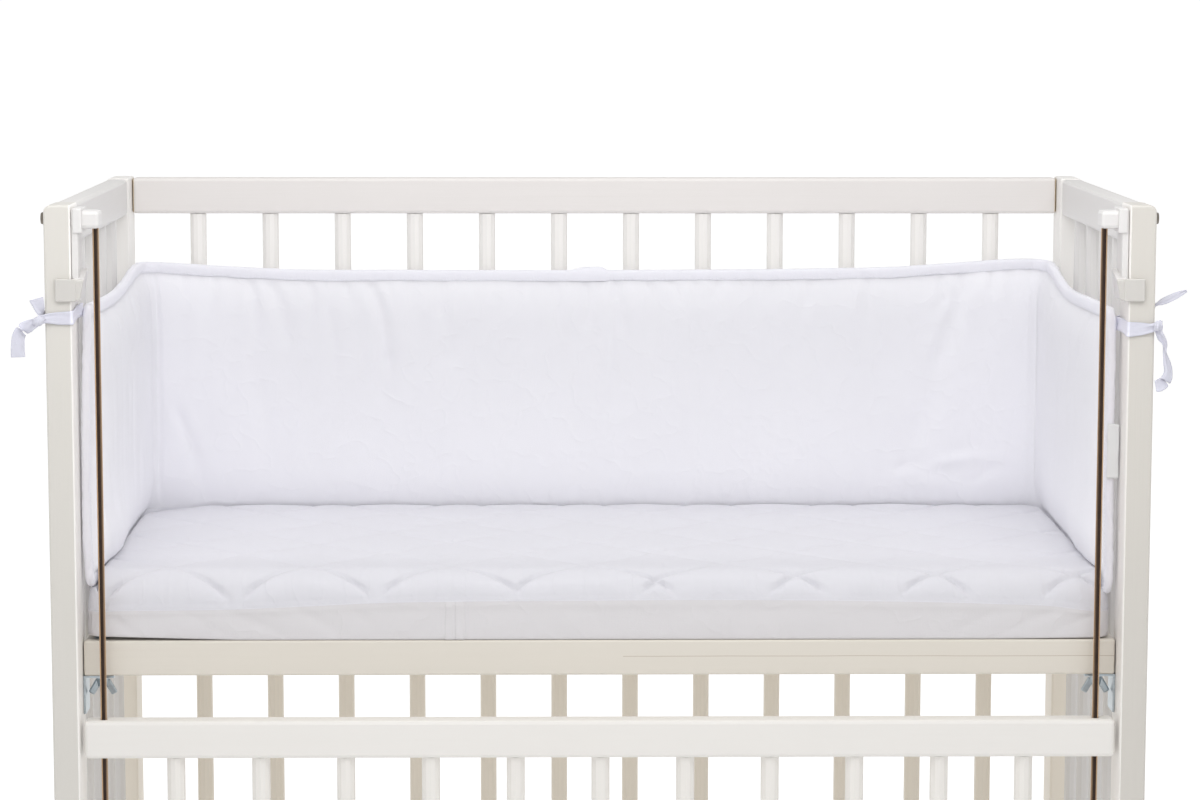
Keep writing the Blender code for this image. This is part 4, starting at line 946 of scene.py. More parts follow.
def belly(along, from_foot):
    above = BELLY_FOOT - foot_drop(along) + from_foot
    hang = ease(above, BELLY_RISE, 2.0) * np.exp(-((np.maximum(above - BELLY_LEVEL, 0) / BELLY_FADE) ** 2))
    reach = smooth_table(BELLY_LEFT, along) + smooth_table(BELLY_RIGHT, PAD_LENGTH - along)
    return reach * hang * ease(np.minimum(along, PAD_LENGTH - along) - FLANGE, 0.02)


def corner_seams(along, from_top):
    """The two corner lines: sharp, and slightly bowed towards the back."""
    bow = SEAM_BOW * np.sin(math.pi * np.clip(from_top / 0.24, 0, 1))
    left = np.abs(along - LEFT_FOLD - bow)
    right = np.abs(along - RIGHT_FOLD + 0.2 * bow)
    return SEAM_DEPTH * (np.exp(-((left / SEAM_HALF) ** 2)) + np.exp(-((right / SEAM_HALF) ** 2)))


print("pad grid:", PAD_COLUMNS, "by", PAD_ROWS, "points on each face")

# %% [markdown]
# Each face is now one distance from the middle line: half the sewn edge, the swell, the belly, and
# lumps and dents that vanish at the sewn edges. A cloth simulation could puff the pad up too, but
# moved points put each crease where the photo shows it.

# %% Build the pad
along, from_top, from_foot = pad_grid(PAD_COLUMNS, PAD_ROWS)
middle, inward = middle_point(along, from_top)
full = fullness(along, from_top, from_foot)
from_end = np.minimum(along, PAD_LENGTH - along)
sewn = 1.0
for distance in (from_top, from_foot, from_end):
    sewn = sewn * ease(distance - SEWN_FROM, SEWN_REACH, SEWN_POWER)
lumps = 0.9 * value_noise(along * 14, from_top * 9, 3) + 0.5 * value_noise(along * 34, from_top * 16, 4)
ripples = 0.22 * value_noise(along * 90, from_top * 26, 5)
dents = crease_relief(along, from_top) + gather_relief(along, from_top, 11)
dents = dents + 0.8 * gather_relief(along, from_foot, 12)
inner_out = EDGE_HALF + full * INNER_CROWN + belly(along, from_foot)
inner_out = inner_out + sewn * ((lumps + ripples) * MM - 1.3 * dents - corner_seams(along, from_top))
outer_dents = gather_relief(along, from_top, 13) + gather_relief(along, from_foot, 14)
outer_lumps = 0.5 * value_noise(along * 12, from_top * 10, 6)
outer_out = EDGE_HALF + full * OUTER_CROWN + sewn * outer_lumps * MM - 0.8 * sewn * outer_dents
inner_out = np.maximum(inner_out, EDGE_HALF * 0.8)
outer_out = np.maximum(outer_out, EDGE_HALF * 0.8)
flat = np.stack([along, from_top, np.zeros_like(along)], axis=-1)
bumper = two_sided(
    "bumper", middle + inward * inner_out[..., None], middle - inward * outer_out[..., None],
    flat, bumper_cotton,
)
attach(bumper, "crib")
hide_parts("bumper_pad")
print("bumper faces:", len(bumper.data.polygons))

# %% [markdown]
# ## Edge tape
#
# A tape is folded over the raw edges and stitched through. It is a ribbon whose cross section is
# a hairpin, carried round the strip's outline. Its width wanders a little and it puckers all
# along. Its two ends lap at the middle of the back, which makes a long low lump there with an
# abrupt end on its right.

# %% Outline of the strip
TAPE_HALF, TAPE_GAP, JOIN_RISE = 0.0037, 0.0003, 0.0032
TAPE_STEP, CORNER_STEPS = 0.0028, 6


def outline(step):
    """Place along, distance from the top, and both directions outwards, round the strip's edge."""
    r = CORNER_ROUND
    rows = []

    def height(a):
        return float(foot_drop(np.array(a)) - top_drop(np.array(a)))

    def straight(a0, t0, a1, t1, out):
        length = math.hypot(a1 - a0, t1 - t0)
        for k in range(int(length / step)):
            part = k / int(length / step)
            rows.append((a0 + (a1 - a0) * part, t0 + (t1 - t0) * part, *out))

    def corner(ca, ct, start):
        for k in range(CORNER_STEPS):
            angle = start + math.pi / 2 * k / CORNER_STEPS
            across, down = math.sin(angle), -math.cos(angle)
            rows.append((ca + r * across, ct + r * down, across, down))

    left_height, right_height = height(0.0), height(PAD_LENGTH)
    straight(r, 0, PAD_LENGTH - r, 0, (0, -1))
    corner(PAD_LENGTH - r, r, 0)
    straight(PAD_LENGTH, r, PAD_LENGTH, right_height - r, (1, 0))
    corner(PAD_LENGTH - r, right_height - r, math.pi / 2)
    foot_count = int((PAD_LENGTH - 2 * r) / step)
    for k in range(foot_count):
        a = PAD_LENGTH - r - (PAD_LENGTH - 2 * r) * k / foot_count
        rows.append((a, height(a), 0, 1))
    corner(r, left_height - r, math.pi)
    straight(0, left_height - r, 0, r, (-1, 0))
    corner(r, r, 1.5 * math.pi)
    return np.array(rows).T


edge_along, edge_top, out_along, out_top = outline(TAPE_STEP)
edge_point, edge_inward = middle_point(edge_along, edge_top)
inside_point, _ = middle_point(edge_along - out_along * FLANGE, edge_top - out_top * FLANGE)
outwards = edge_point - inside_point
outwards /= np.linalg.norm(outwards, axis=1)[:, None]
step_length = np.linalg.norm(np.roll(edge_point, -1, axis=0) - edge_point, axis=1)
edge_run = np.concatenate([[0], np.cumsum(step_length)[:-1]])
print("edge of the bumper:", round(float(step_length.sum()), 3), "m round")

# %% [markdown]
# The section is listed as distance outwards from the stitched side, offset from the middle, and
# how freely that place moves. One face is listed, and the other is its mirror image. Two
# random waves make the puckers, and the section grows where the two ends lap.

# %% Build the tape
LAP_LEFT, LAP_RISE, LAP_RIGHT, LAP_FALL = 0.028, 0.020, 0.0125, 0.006
TAPE_FACE = (
    (0.06, 0.74, 0.5), (0.01, 0.755, 0.7), (0.03, 0.79, 1), (0.16, 0.83, 0.6), (0.34, 0.92, 1),
    (0.60, 0.99, 1), (0.85, 0.98, 1), (1.03, 0.80, 1), (1.12, 0.45, 1),
)
TAPE_LINING = ((0.30, -0.73, 0), (0.70, -0.73, 0), (1.02, -0.72, 0))


def mirrored(rows):
    return tuple((out, -half, loose) for out, half, loose in reversed(rows))


TAPE_SECTION = (*TAPE_FACE, (1.15, 0.0, 1), *mirrored(TAPE_FACE), *TAPE_LINING, *mirrored(TAPE_LINING))
on_top = out_top == -1
from_middle = edge_along - HALF
lap = np.clip((from_middle + LAP_LEFT) / LAP_RISE, 0, 1) * np.clip((LAP_RIGHT - from_middle) / LAP_FALL, 0, 1)
lap = np.where(on_top, lap * lap * (3 - 2 * lap), 0)
wander = 0.00045 * noise_along(edge_run, 60, 21)
pucker = 0.00028 * noise_along(edge_run, 240, 22) + 0.00020 * noise_along(edge_run, 110, 23, 9)
slot_half = EDGE_HALF + TAPE_GAP
RING_STEP = 0.0011
rings, flat_rings = [], []
for number, (outward_part, half_part, loose) in enumerate(TAPE_SECTION):
    distance = FLANGE * outward_part + (wander if abs(outward_part) < 0.2 else 0)
    distance = distance + np.where(outward_part > 0.9, lap * JOIN_RISE * (1 if loose else 0.5), 0)
    side = math.copysign(1, half_part) if half_part else 0
    offset = TAPE_HALF * half_part * (1 + 0.25 * lap * bool(loose)) + side * loose * pucker
    if not loose:
        offset = side * slot_half + 0 * edge_run
    rings.append(inside_point + outwards * distance[:, None] + edge_inward * offset[:, None])
    flat_rings.append(np.stack([edge_run, edge_run * 0 + number * RING_STEP, edge_run * 0], axis=-1))
ring_points = np.stack(rings, axis=0)
tape_faces = grid_faces(len(TAPE_SECTION) + 1, len(edge_run), wrap_columns=True)
tape_faces %= len(TAPE_SECTION) * len(edge_run)
tape = new_piece(
    "edge_tape", ring_points.reshape(-1, 3), tape_faces, np.stack(flat_rings, axis=0).reshape(-1, 3),
    tape_cotton,
)
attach(tape, "crib")
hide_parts("bumper_tape")
print("tape faces:", len(tape.data.polygons))

# %% [markdown]
# ## Stitches
#
# Each stitch is a tiny lozenge of thread that dips into the cloth at both ends. One helper lays
# a run of them along a line of points, given the direction that faces out of the cloth.

# %% Stitch helper


def stitches(name, line, facing, length, gap, thick, finish):
    """Rows of small thread lozenges along an open line of points."""
    steps = np.linalg.norm(np.diff(line, axis=0), axis=1)
    run = np.concatenate([[0], np.cumsum(steps)])
    starts = np.arange(0, run[-1] - length, length + gap)

    def sample(values, places):
        return np.stack([np.interp(places, run, values[:, k]) for k in range(3)], axis=-1)

    first, last = sample(line, starts), sample(line, starts + length)
    up = sample(facing, starts + length / 2)
    up /= np.linalg.norm(up, axis=1)[:, None]
    ahead = (last - first) / length
    side = np.cross(up, ahead)
    centre = (first + last) / 2
    across, onward, dip = side * thick * 0.6, ahead * length * 0.2, up * thick * 0.4
    corners = [
        first - dip, centre + across - onward, centre + up * thick * 0.75, centre - across - onward,
        last - dip, centre - dip, centre + across + onward, centre - across + onward,
    ]
    points = np.stack(corners, axis=1).reshape(-1, 3)
    pattern = np.array([
        (0, 1, 2), (0, 2, 3), (4, 2, 6), (4, 7, 2), (1, 6, 2), (3, 2, 7),
        (0, 5, 1), (0, 3, 5), (4, 6, 5), (4, 5, 7), (1, 5, 6), (3, 7, 5),
    ])
    count = len(starts)
    faces = (pattern[None] + (np.arange(count) * len(corners))[:, None, None]).reshape(-1, 3)
    return new_piece(name, points, faces, points, finish)


SEAM_IN, STITCH_LENGTH, STITCH_GAP, THREAD_THICK = 0.16, 0.0026, 0.0010, 0.00045
loop = np.concatenate([np.arange(len(edge_run)), [0]])
for label, side in (("inner", 1), ("outer", -1)):
    height = TAPE_HALF * 0.86 + 0.6 * pucker
    line = inside_point + outwards * (FLANGE * SEAM_IN + wander)[:, None]
    line = line + side * edge_inward * height[:, None]
    run = stitches(
        f"tape_stitches_{label}", line[loop], (side * edge_inward)[loop],
        STITCH_LENGTH, STITCH_GAP, THREAD_THICK, sewing_thread,
    )
    run.parent = tape
print("stitched both sides of the tape")

# %% [markdown]
# ## Ties
#
# Each front corner has two tapes that go round the post, one in front and one behind, and are
# knotted outside it. The front tape makes the knot and both loose ends hang free. A tie is a flat
# ribbon with a folded hem along each edge, swept along a smooth line through a few places.

# %% Places along the ties
UP = (0, 0, 1)
# Round each post the ties take the same path, as distance from the middle and depth in mm.
ROUND_FRONT = (
    (449.0, 36.5), (450.8, 31.5), (452.6, 24.0), (452.6, 11.0),
    (452.5, 2.0), (452.6, -0.3), (453.7, -1.4), (456.5, -1.4),
)
ROUND_BACK = (
    (449.0, 38.2), (451.4, 41.2), (452.5, 43.6), (452.5, 45.3), (453.6, 46.4), (457.0, 46.4),
    (473.5, 46.4), (476.4, 46.4), (477.8, 45.2), (477.9, 43.0), (477.8, 30.0),
)


def round_post(side, path, drops, widths):
    rows = zip(path, drops, widths)
    return tuple((side * x, depth, drop, UP, width, 1.0) for (x, depth), drop, width in rows)


# Each row: x, depth, drop, the way the width lies, width, thickness. Lengths in mm.
LEFT_FRONT_TIE = (
    *round_post(
        -1, ROUND_FRONT, (92.5, 93.0, 94.2, 95.5, 96.2, 96.4, 96.5, 96.6),
        (11.0, 11.0, 11.2, 11.6, 11.8, 11.8, 11.7, 11.6),
    ),
    (-465.0, -1.3, 96.8, UP, 10.8, 1.1),
    (-473.5, -2.6, 96.8, UP, 8.6, 1.5), (-477.5, -4.6, 97.4, UP, 7.4, 2.0),
    (-480.6, -5.2, 98.4, (0.1, 0, 1), 8.0, 2.4),
    (-484.2, -4.8, 100.4, (0.3, 0, 1), 8.6, 1.8), (-488.8, -3.6, 102.8, (0.5, 0, 0.85), 10.8, 1.2),
    (-494.0, -3.6, 105.5, (0.6, 0, 0.8), 11.5, 1.1), (-498.2, -4.2, 111.0, (0.9, 0.1, 0.4), 11.2, 1.1),
    (-499.3, -4.6, 120.0, (1, 0.15, 0), 11.8, 1.1), (-499.3, -4.0, 130.0, (1, 0.10, 0), 12.4, 1.1),
)
LEFT_REAR_TIE = (
    *round_post(
        -1, ROUND_BACK, (92.5, 93.0, 93.8, 94.3, 95.0, 95.5, *(96.0,) * 4, 96.2), (11.0,) * 11,
    ),
    (-477.8, 10.0, 96.5, UP, 10.5, 1.0),
    (-478.0, 3.4, 96.0, (0, 0.2, 1), 9.2, 1.0), (-478.4, 0.4, 94.8, (0.1, 0.5, 0.9), 8.4, 1.0),
    (-479.2, -1.2, 92.4, (0.6, 0.5, 0.5), 7.4, 1.0), (-480.2, -2.6, 89.2, (0.95, 0.2, 0.25), 8.6, 1.0),
    (-481.4, -3.6, 84.5, (1, 0, 0.2), 10.6, 1.0), (-482.8, -4.4, 79.5, (1, 0, 0.12), 12.8, 1.0),
)
RIGHT_FRONT_TIE = (
    *round_post(
        1, ROUND_FRONT, (105.0, 105.3, 105.6, 106.0, 106.4, 106.6, 106.6, 106.6),
        (12.0, 12.0, 12.2, 12.4, 12.6, 12.6, 12.7, 12.7),
    ),
    (465.0, -1.3, 106.2, UP, 11.0, 1.1),
    (472.5, -2.2, 105.5, UP, 8.0, 1.5), (476.2, -3.6, 104.2, UP, 7.2, 2.0),
    (478.5, -4.6, 103.5, (0.2, 0, 1), 8.0, 2.6),
    (479.2, -4.4, 108.5, (1, 0, 0.2), 6.4, 2.2), (481.5, -4.0, 113.5, (1, 0, 0.3), 6.8, 1.4),
    (484.8, -3.6, 119.0, (1, 0.2, 0.3), 4.6, 1.2), (485.2, -3.4, 126.5, (0.8, 0.6, 0), 3.4, 1.2),
    (487.0, -3.6, 135.0, (1, 0.3, 0.1), 6.6, 1.1), (488.2, -4.0, 143.0, (1, 0.1, 0.2), 7.6, 1.1),
    (486.2, -4.4, 150.0, (0.7, 0, 0.7), 10.0, 1.1), (481.2, -4.0, 154.5, (0.5, 0, 0.9), 11.2, 1.1),
    (477.2, -3.6, 155.5, (0.4, 0, 0.9), 9.6, 1.1),
)
RIGHT_REAR_TIE = (
    *round_post(
        1, ROUND_BACK, (*(105.0,) * 6, 104.8, 104.5, 104.3, 104.2, 103.6), (*(12.0,) * 8, 11.9, 11.8, 11.2),
    ),
    (477.8, 20.0, 101.5, (0, 0.3, 1), 10.0, 1.0),
    (477.8, 17.0, 96.5, (0, 1, 0.5), 8.0, 1.0), (477.9, 15.5, 91.0, (0, 1, 0.2), 6.4, 1.0),
    (480.0, 13.5, 86.4, (0.3, 0.7, 0.6), 5.6, 1.0), (486.5, 11.0, 83.0, (0.4, 0.2, 0.9), 7.0, 1.0),
    (495.5, 8.0, 78.4, (0.4, 0, 0.9), 6.2, 1.0), (504.4, 6.0, 74.0, (0.4, 0, 0.9), 2.6, 1.0),
)
all_ties = (LEFT_FRONT_TIE, LEFT_REAR_TIE, RIGHT_FRONT_TIE, RIGHT_REAR_TIE)
print("the ties go through", sum(map(len, all_ties)), "places")

# %% [markdown]
# A ribbon swept through those places needs more of them. A smooth curve passes through every
# row, and it carries the width and the thickness along with it.

# %% Route of a tie
TIE_STEPS = 9


def tie_route(rows):
    """Centre, width direction, width and thickness along a tie, on a curve through its rows."""
    values = []
    for x, depth, drop, wide, width, thick in rows:
        wide = np.array(wide, float) / np.linalg.norm(wide)
        values.append(np.concatenate([at(x * MM, depth * MM, drop * MM), wide, [width * MM, thick * MM]]))
    values = np.array(values)
    padded = np.concatenate([values[:1], values, values[-1:]])
    out = []
    for k in range(len(values) - 1):
        a, b, c, d = padded[k : k + 4]
        for t in np.arange(TIE_STEPS) / TIE_STEPS:
            square, cube = 2 * a - 5 * b + 4 * c - d, 3 * b - a - 3 * c + d
            out.append(0.5 * (2 * b + (c - a) * t + square * t**2 + cube * t**3))
    out.append(values[-1])
    return np.array(out)


print("steps between two places:", TIE_STEPS)

# %% [markdown]
# The section of a tie is a flat loop: a thick folded hem at each edge and thin cloth between. Long
# soft troughs run along it where the cloth has been pulled tight, deepest where it is narrow.

# %% Build the ties
TIE_COLUMNS, HEM_PART, TIE_FLAT_HALF = 11, 0.14, 0.006


def ribbon(name, rows, finish, seed, gathers):
    """A hemmed ribbon along a route; returns the piece and its real length."""
    route = tie_route(rows)
    centre = route[:, :3]
    ahead = np.gradient(centre, axis=0)
    ahead /= np.linalg.norm(ahead, axis=1)[:, None]
    wide = route[:, 3:6] - ahead * np.sum(route[:, 3:6] * ahead, axis=1)[:, None]
    wide /= np.linalg.norm(wide, axis=1)[:, None]
    thin = np.cross(ahead, wide)
    run = np.concatenate([[0], np.cumsum(np.linalg.norm(np.diff(centre, axis=0), axis=1))])
    share = np.linspace(-1, 1, TIE_COLUMNS)
    hem = np.clip((np.abs(share) - (1 - 2 * HEM_PART)) / (2 * HEM_PART), 0, 1)
    body = 0.34 + 0.36 * np.sin(math.pi * hem)
    squeeze = np.clip(1.25 - route[:, 6] / 0.0118, 0.12, 0.9)
    u, v = np.meshgrid(run, share, indexing="ij")
    pleats = value_noise(u * 28, v * 2.4 + 5, seed) * (squeeze[:, None] * 1.5 + gathers)
    waves = pleats + value_noise(u * 130, v * 2.0 + 3, seed + 1) * 0.22
    waves *= np.minimum(1.0, route[:, 7] / 0.0010)[:, None] * 0.9 * MM
    spread = centre[:, None] + wide[:, None] * (share[None, :, None] * route[:, 6][:, None, None] / 2)
    lift = thin[:, None] * waves[..., None]
    ply = thin[:, None] * (body[None, :, None] * route[:, 7][:, None, None] / 2 * 1.3)
    front, back = spread + lift + ply, spread + lift - ply
    flat = np.stack([u, (v + 1) * TIE_FLAT_HALF, u * 0], axis=-1)
    made = two_sided(name, front, back, flat, finish)
    return made, float(run[-1])


tie_lengths = {}
tie_bands = []
# Each tie: the CAD node it replaces, its places, a seed, and how much it gathers.
TIES = (
    ("tie_left_front", LEFT_FRONT_TIE, 31, 0.15), ("tie_left_rear", LEFT_REAR_TIE, 35, 0.1),
    ("tie_right_front", RIGHT_FRONT_TIE, 41, 0.65), ("tie_right_rear", RIGHT_REAR_TIE, 45, 0.3),
)
for node, rows, seed, gathers in TIES:
    name = node + "_band"
    band, length = ribbon(name, rows, tie_cotton, seed, gathers)
    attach(band, "crib")
    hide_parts(node)
    tie_lengths[name] = length
    tie_bands.append(band)
print("tie lengths:", {name: round(length, 3) for name, length in tie_lengths.items()})

# %% [markdown]
# The knot is the same tape wound once round both bands and pulled tight. It is a short closed
# ribbon round the place where the front tape is thickest, with its width pinched in.

# %% Build the knots
KNOT_ROUND, KNOT_ACROSS = 48, 13


def knot(name, centre, axis, radius, width, seed, finish):
    """A ribbon wound once round an axis, bulging in its middle and creased across."""
    axis = np.array(axis, float) / np.linalg.norm(axis)
    side = np.cross(axis, (0, 1, 0))
    side /= np.linalg.norm(side)
    other = np.cross(axis, side)
    angles = np.linspace(0, 2 * math.pi, KNOT_ROUND, endpoint=False)
    share = np.linspace(-1, 1, KNOT_ACROSS)
    u, v = np.meshgrid(angles, share, indexing="ij")
    bulge = 1 - 0.34 * v**2
    fold = 0.10 * np.sin(v * 7.5 + 1.4 * np.sin(u + seed)) + 0.07 * value_noise(u * 2, v * 3 + 7, seed)
    around = radius[0] * (bulge + fold)[..., None] * np.cos(u)[..., None] * side
    around = around + radius[1] * (bulge + fold)[..., None] * np.sin(u)[..., None] * other
    slant = 0.35 * np.cos(u + 0.6)
    spread = axis * ((v + slant) * width / 2)[..., None]
    points = np.array(centre) + around + spread
    index = np.arange(u.size).reshape(u.shape)
    after = np.roll(index, -1, axis=0)
    quads = np.stack([index[:, :-1], after[:, :-1], after[:, 1:], index[:, 1:]], axis=-1).reshape(-1, 4)
    flat = np.stack([u * radius[0], v * width / 2, u * 0], axis=-1).reshape(-1, 3)
    return new_piece(name, points.reshape(-1, 3), [*quads, index[:, 0], index[::-1, -1]], flat, finish)


left_knot = knot(
    "tie_left_knot", at(-0.4808, -0.0056, 0.0985), (1, 0, -0.45), (0.0050, 0.0036), 0.0075, 3, tie_cotton
)
right_knot = knot(
    "tie_right_knot", at(0.4785, -0.0050, 0.1030), (1, 0, 0.2), (0.0048, 0.0036), 0.0068, 5, tie_cotton
)
for piece in (left_knot, right_knot):
    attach(piece, "crib")
for band in tie_bands:
    side = "left" if "left" in band.name else "right"
    length = round(tie_lengths[band.name], 3)
print("two knots")

# %% [markdown]
# ## Label
#
# A small bare tag is sewn to the bumper's right front edge along its inner side. It is a satin
# strip with a hem at its top and foot, and it stands a little past the edge of the tape.

# %% Build the label
low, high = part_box("bumper_label")
LABEL_ROWS, LABEL_COLUMNS, LABEL_SETBACK = 30, 12, 0.0003
v, u = np.meshgrid(np.linspace(0, 1, LABEL_ROWS), np.linspace(0, 1, LABEL_COLUMNS), indexing="ij")
curl = 0.0005 * np.sin(math.pi * v) * u + 0.0003 * value_noise(u * 2, v * 4, 51) * u
label_x = low.x + (high.x - low.x) * u + 0.0003 * value_noise(u * 0, v * 5, 52) * (u > 0.9)
label_z = high.z - (high.z - low.z) * v - 0.0010 * u * (1 - v)
label_y = low.y + LABEL_SETBACK - curl
ply = 0.00022 + 0.00018 * np.clip(np.abs(v - 0.5) * 14 - 6.2, 0, 1)
front_side = np.stack([label_x, label_y - ply, label_z], axis=-1)
back_side = np.stack([label_x, label_y + ply, label_z], axis=-1)
tag_width, tag_drop = float(high.x - low.x), float(high.z - low.z)
tag_flat = np.stack([u * tag_width, v * tag_drop, u * 0], axis=-1)
tag = two_sided("bare_tag", front_side, back_side, tag_flat, label_satin)
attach(tag, "crib")
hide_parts("bumper_label")
print("label", round(tag_width * 1000, 1), "mm wide")

# %% [markdown]
# ## Mattress
#
# The cover is quilted in diamonds, so its top is a grid of low pillows between sewn lines. Over
# the front shoulder the same lines show as arches. Below the shoulder seam runs a plain band,
# whose two ends meet in a flat upright seam left of the middle.

# %% Mattress outline and quilting
MATTRESS_LEFT, MATTRESS_RIGHT, MATTRESS_FRONT, MATTRESS_BACK = -0.450, 0.448, 0.030, 0.4265
MATTRESS_FOOT, MATTRESS_BAND, MATTRESS_TOP, SHOULDER, PLAN_ROUND = 0.3832, 0.352, 0.324, 0.031, 0.014
ACROSS, DEEP = MATTRESS_RIGHT - MATTRESS_LEFT, MATTRESS_BACK - MATTRESS_FRONT
DIAMOND = 0.123
SEAM_LINE = (
    (-0.450, 0.3575), (-0.429, 0.3568), (-0.326, 0.3552), (-0.250, 0.3520), (-0.197, 0.3495),
    (-0.127, 0.3482), (-0.009, 0.3475), (0.072, 0.3470), (0.202, 0.3478), (0.345, 0.3510),
    (0.401, 0.3536), (0.430, 0.3575), (0.448, 0.3585),
)
# The front of the cover has slipped sideways on the right, so the quilting drifts there.
SLIP, SLIP_START, SLIP_LENGTH, SLIP_FADE = 0.038, -0.2, 0.45, 0.07
CHANNEL_DEPTH, CHANNEL_HALF, SINK_DEPTH, SINK_REACH = 1.8 * MM, 0.0020, 0.9 * MM, 0.009
PILLOW_RISE, PILLOW_REACH = 0.9 * MM, 0.03


def quilt_relief(x, depth):
    """Depth of the sewn channels less the rise of the pillows between them, in metres."""
    drift = SLIP * np.clip((x - SLIP_START) / SLIP_LENGTH, 0, 1)
    drift = drift * np.exp(-np.maximum(depth - MATTRESS_FRONT, 0) / SLIP_FADE)
    wave = 0.004 * value_noise(x * 9, depth * 9, 61)
    first = (x + depth - drift - 0.052 + wave) / DIAMOND
    second = (x - depth + drift - 0.046 - wave) / DIAMOND
    nearest = np.minimum(np.abs(first - np.round(first)), np.abs(second - np.round(second)))
    nearest = nearest * DIAMOND / math.sqrt(2)
    channel = CHANNEL_DEPTH * np.exp(-((nearest / CHANNEL_HALF) ** 2))
    channel = channel + SINK_DEPTH * np.exp(-nearest / SINK_REACH)
    return channel - PILLOW_RISE * np.clip(nearest / PILLOW_REACH, 0, 1)


print("quilted in diamonds of", DIAMOND, "m")

# %% [markdown]
# The top, the shoulder and the band are one closed mesh. Rows of points follow the mattress
# outline, which has round corners: first the inner grid, then rings that go down the band.

# %% Lines of points and the press under the bumper
# Lines beside the outer edges and beside the band's upright seam, in mm.
NEAR_EDGE = (
    0.0, 0.6, 1.8, 3.4, 5.2, 7.0, 7.9, 8.5, 8.9, 9.3, 9.7, 10.1, 10.5, 10.9, 11.4, 12.0, 13.0, 14.5, 16.5,
)
BAND_JOIN, STRIP_HALF = -0.1275, 0.0086
JOIN_LINES = (-11.0, -9.5, -8.9, -8.3, -7.2, -4.0, -1.5, -0.7, 0.0, 0.7, 1.5, 4.0, 7.2, 8.3, 8.9, 9.5, 11.0)
# Each row: distance in front of the bumper's foot, and how far the top is pressed down there. At
# the back a low rim stands up just in front of the foot, listed in the same way.
UNDER_BUMPER = (
    (-0.0120, 0.0142), (-0.0020, 0.0136), (0.0001, 0.0134), (0.0003, 0.0110), (0.0007, 0.0038),
    (0.0012, 0.0009), (0.0020, 0.0004), (0.0040, 0.0001), (0.0140, 0.0001), (0.0240, 0.0),
)
BACK_RIM = (
    (0.0007, 0.0), (0.0014, 0.0006), (0.0025, 0.0011), (0.0045, 0.0013), (0.0090, 0.0008), (0.0180, 0.0),
)
TAPE_X, TAPE_BACK, TAPE_TURN = 0.4399, 0.4163, 0.0165
SHOULDER_POWER, COLUMNS_ACROSS, ROWS_DEEP = 1.9, 350, 130


def edge_lines(length, count):
    steps = np.concatenate([np.array(NEAR_EDGE) * MM, np.linspace(0.0185, SHOULDER, 11)])
    inner = np.linspace(SHOULDER, length - SHOULDER, count)[1:-1]
    return np.concatenate([steps, inner, length - steps[::-1]])


def front_fall(edge, band):
    """How far the front shoulder has fallen at this distance from the front."""
    out = np.clip(1 - edge / SHOULDER, 0, 1)
    return (band - MATTRESS_TOP) * (1 - (1 - out**SHOULDER_POWER) ** (1 / SHOULDER_POWER))


def under_bumper(x, depth):
    """How far the bumper's foot presses the top down, and the distance in front of the foot."""
    past_x, past_y = np.abs(x) - (TAPE_X - TAPE_TURN), depth - (TAPE_BACK - TAPE_TURN)
    outside = np.hypot(np.maximum(past_x, 0), np.maximum(past_y, 0))
    outside = outside + np.minimum(np.maximum(past_x, past_y), 0)
    return smooth_table(UNDER_BUMPER, TAPE_TURN - outside), TAPE_TURN - outside


print("lines of points near each edge:", len(NEAR_EDGE))

# %% [markdown]
# Now the top. It is a flat top that falls at the front shoulder or is pressed down under the
# bumper, whichever is more, with a low crown and the relief of the quilting. The relief fades
# out at the seam and beside the bumper, where the cover is pulled tight.

# %% Shape the mattress top
xs, ys = edge_lines(ACROSS, COLUMNS_ACROSS), edge_lines(DEEP, ROWS_DEEP)
CROWN_RISE, WRAP_PART, CORNER_PRESS, CORNER_REACH = 0.0022, 0.7, 0.0050, 0.036
FRONT_PART, JOIN_CLEAR, SEAM_ROUND = 0.12, 0.0125, 0.0030
PRESS_FADE, FOOT_FADE, SIDE_CLEAR = 0.004, 0.012, 0.030
join_x = BAND_JOIN - MATTRESS_LEFT
xs = np.sort(np.concatenate([xs[np.abs(xs - join_x) > JOIN_CLEAR], join_x + np.array(JOIN_LINES) * MM]))
y, x = np.meshgrid(ys, xs, indexing="ij")
beside, near_end = np.minimum(x, ACROSS - x), np.minimum(y, DEEP - y)
new_beside, new_end = rounded(beside, near_end, PLAN_ROUND)
in_corner = (beside < PLAN_ROUND) & (near_end < PLAN_ROUND)
radial = PLAN_ROUND - np.hypot(PLAN_ROUND - new_beside, PLAN_ROUND - new_end)
edge = np.where(in_corner, np.maximum(radial, 0), np.minimum(beside, near_end))
is_front = y <= np.minimum(beside, DEEP - y)
x = x + np.where(x < ACROSS / 2, 1, -1) * (new_beside - beside)
y = y + np.where(y < DEEP / 2, 1, -1) * (new_end - near_end)
world_x = MATTRESS_LEFT + x
frontness = np.clip(1 - y / FRONT_PART, 0, 1)
band_top = MATTRESS_BAND + (smooth_table(SEAM_LINE, world_x) - MATTRESS_BAND) * frontness
crown = CROWN_RISE * np.sin(math.pi * x / ACROSS) * np.sin(math.pi * y / DEEP)
side_gap = np.minimum(x, ACROSS - x)
front_line = PLAN_ROUND - np.sqrt(np.maximum(PLAN_ROUND**2 - np.maximum(PLAN_ROUND - side_gap, 0) ** 2, 0))
pressed, in_front = under_bumper(world_x, MATTRESS_FRONT + y)
from_corner = np.hypot(world_x + TAPE_X, MATTRESS_FRONT + y - TAPE_BACK)
pressed = np.maximum(pressed, CORNER_PRESS * np.exp(-((from_corner / CORNER_REACH) ** 2)))
rim_fall = (band_top - MATTRESS_TOP - pressed) * np.clip(1 - edge / SEAM_ROUND, 0, 1) ** 2
fall = np.maximum(front_fall(np.maximum(y - front_line, 0), band_top), pressed + rim_fall)
wrap = np.maximum(0, SHOULDER - y) * WRAP_PART
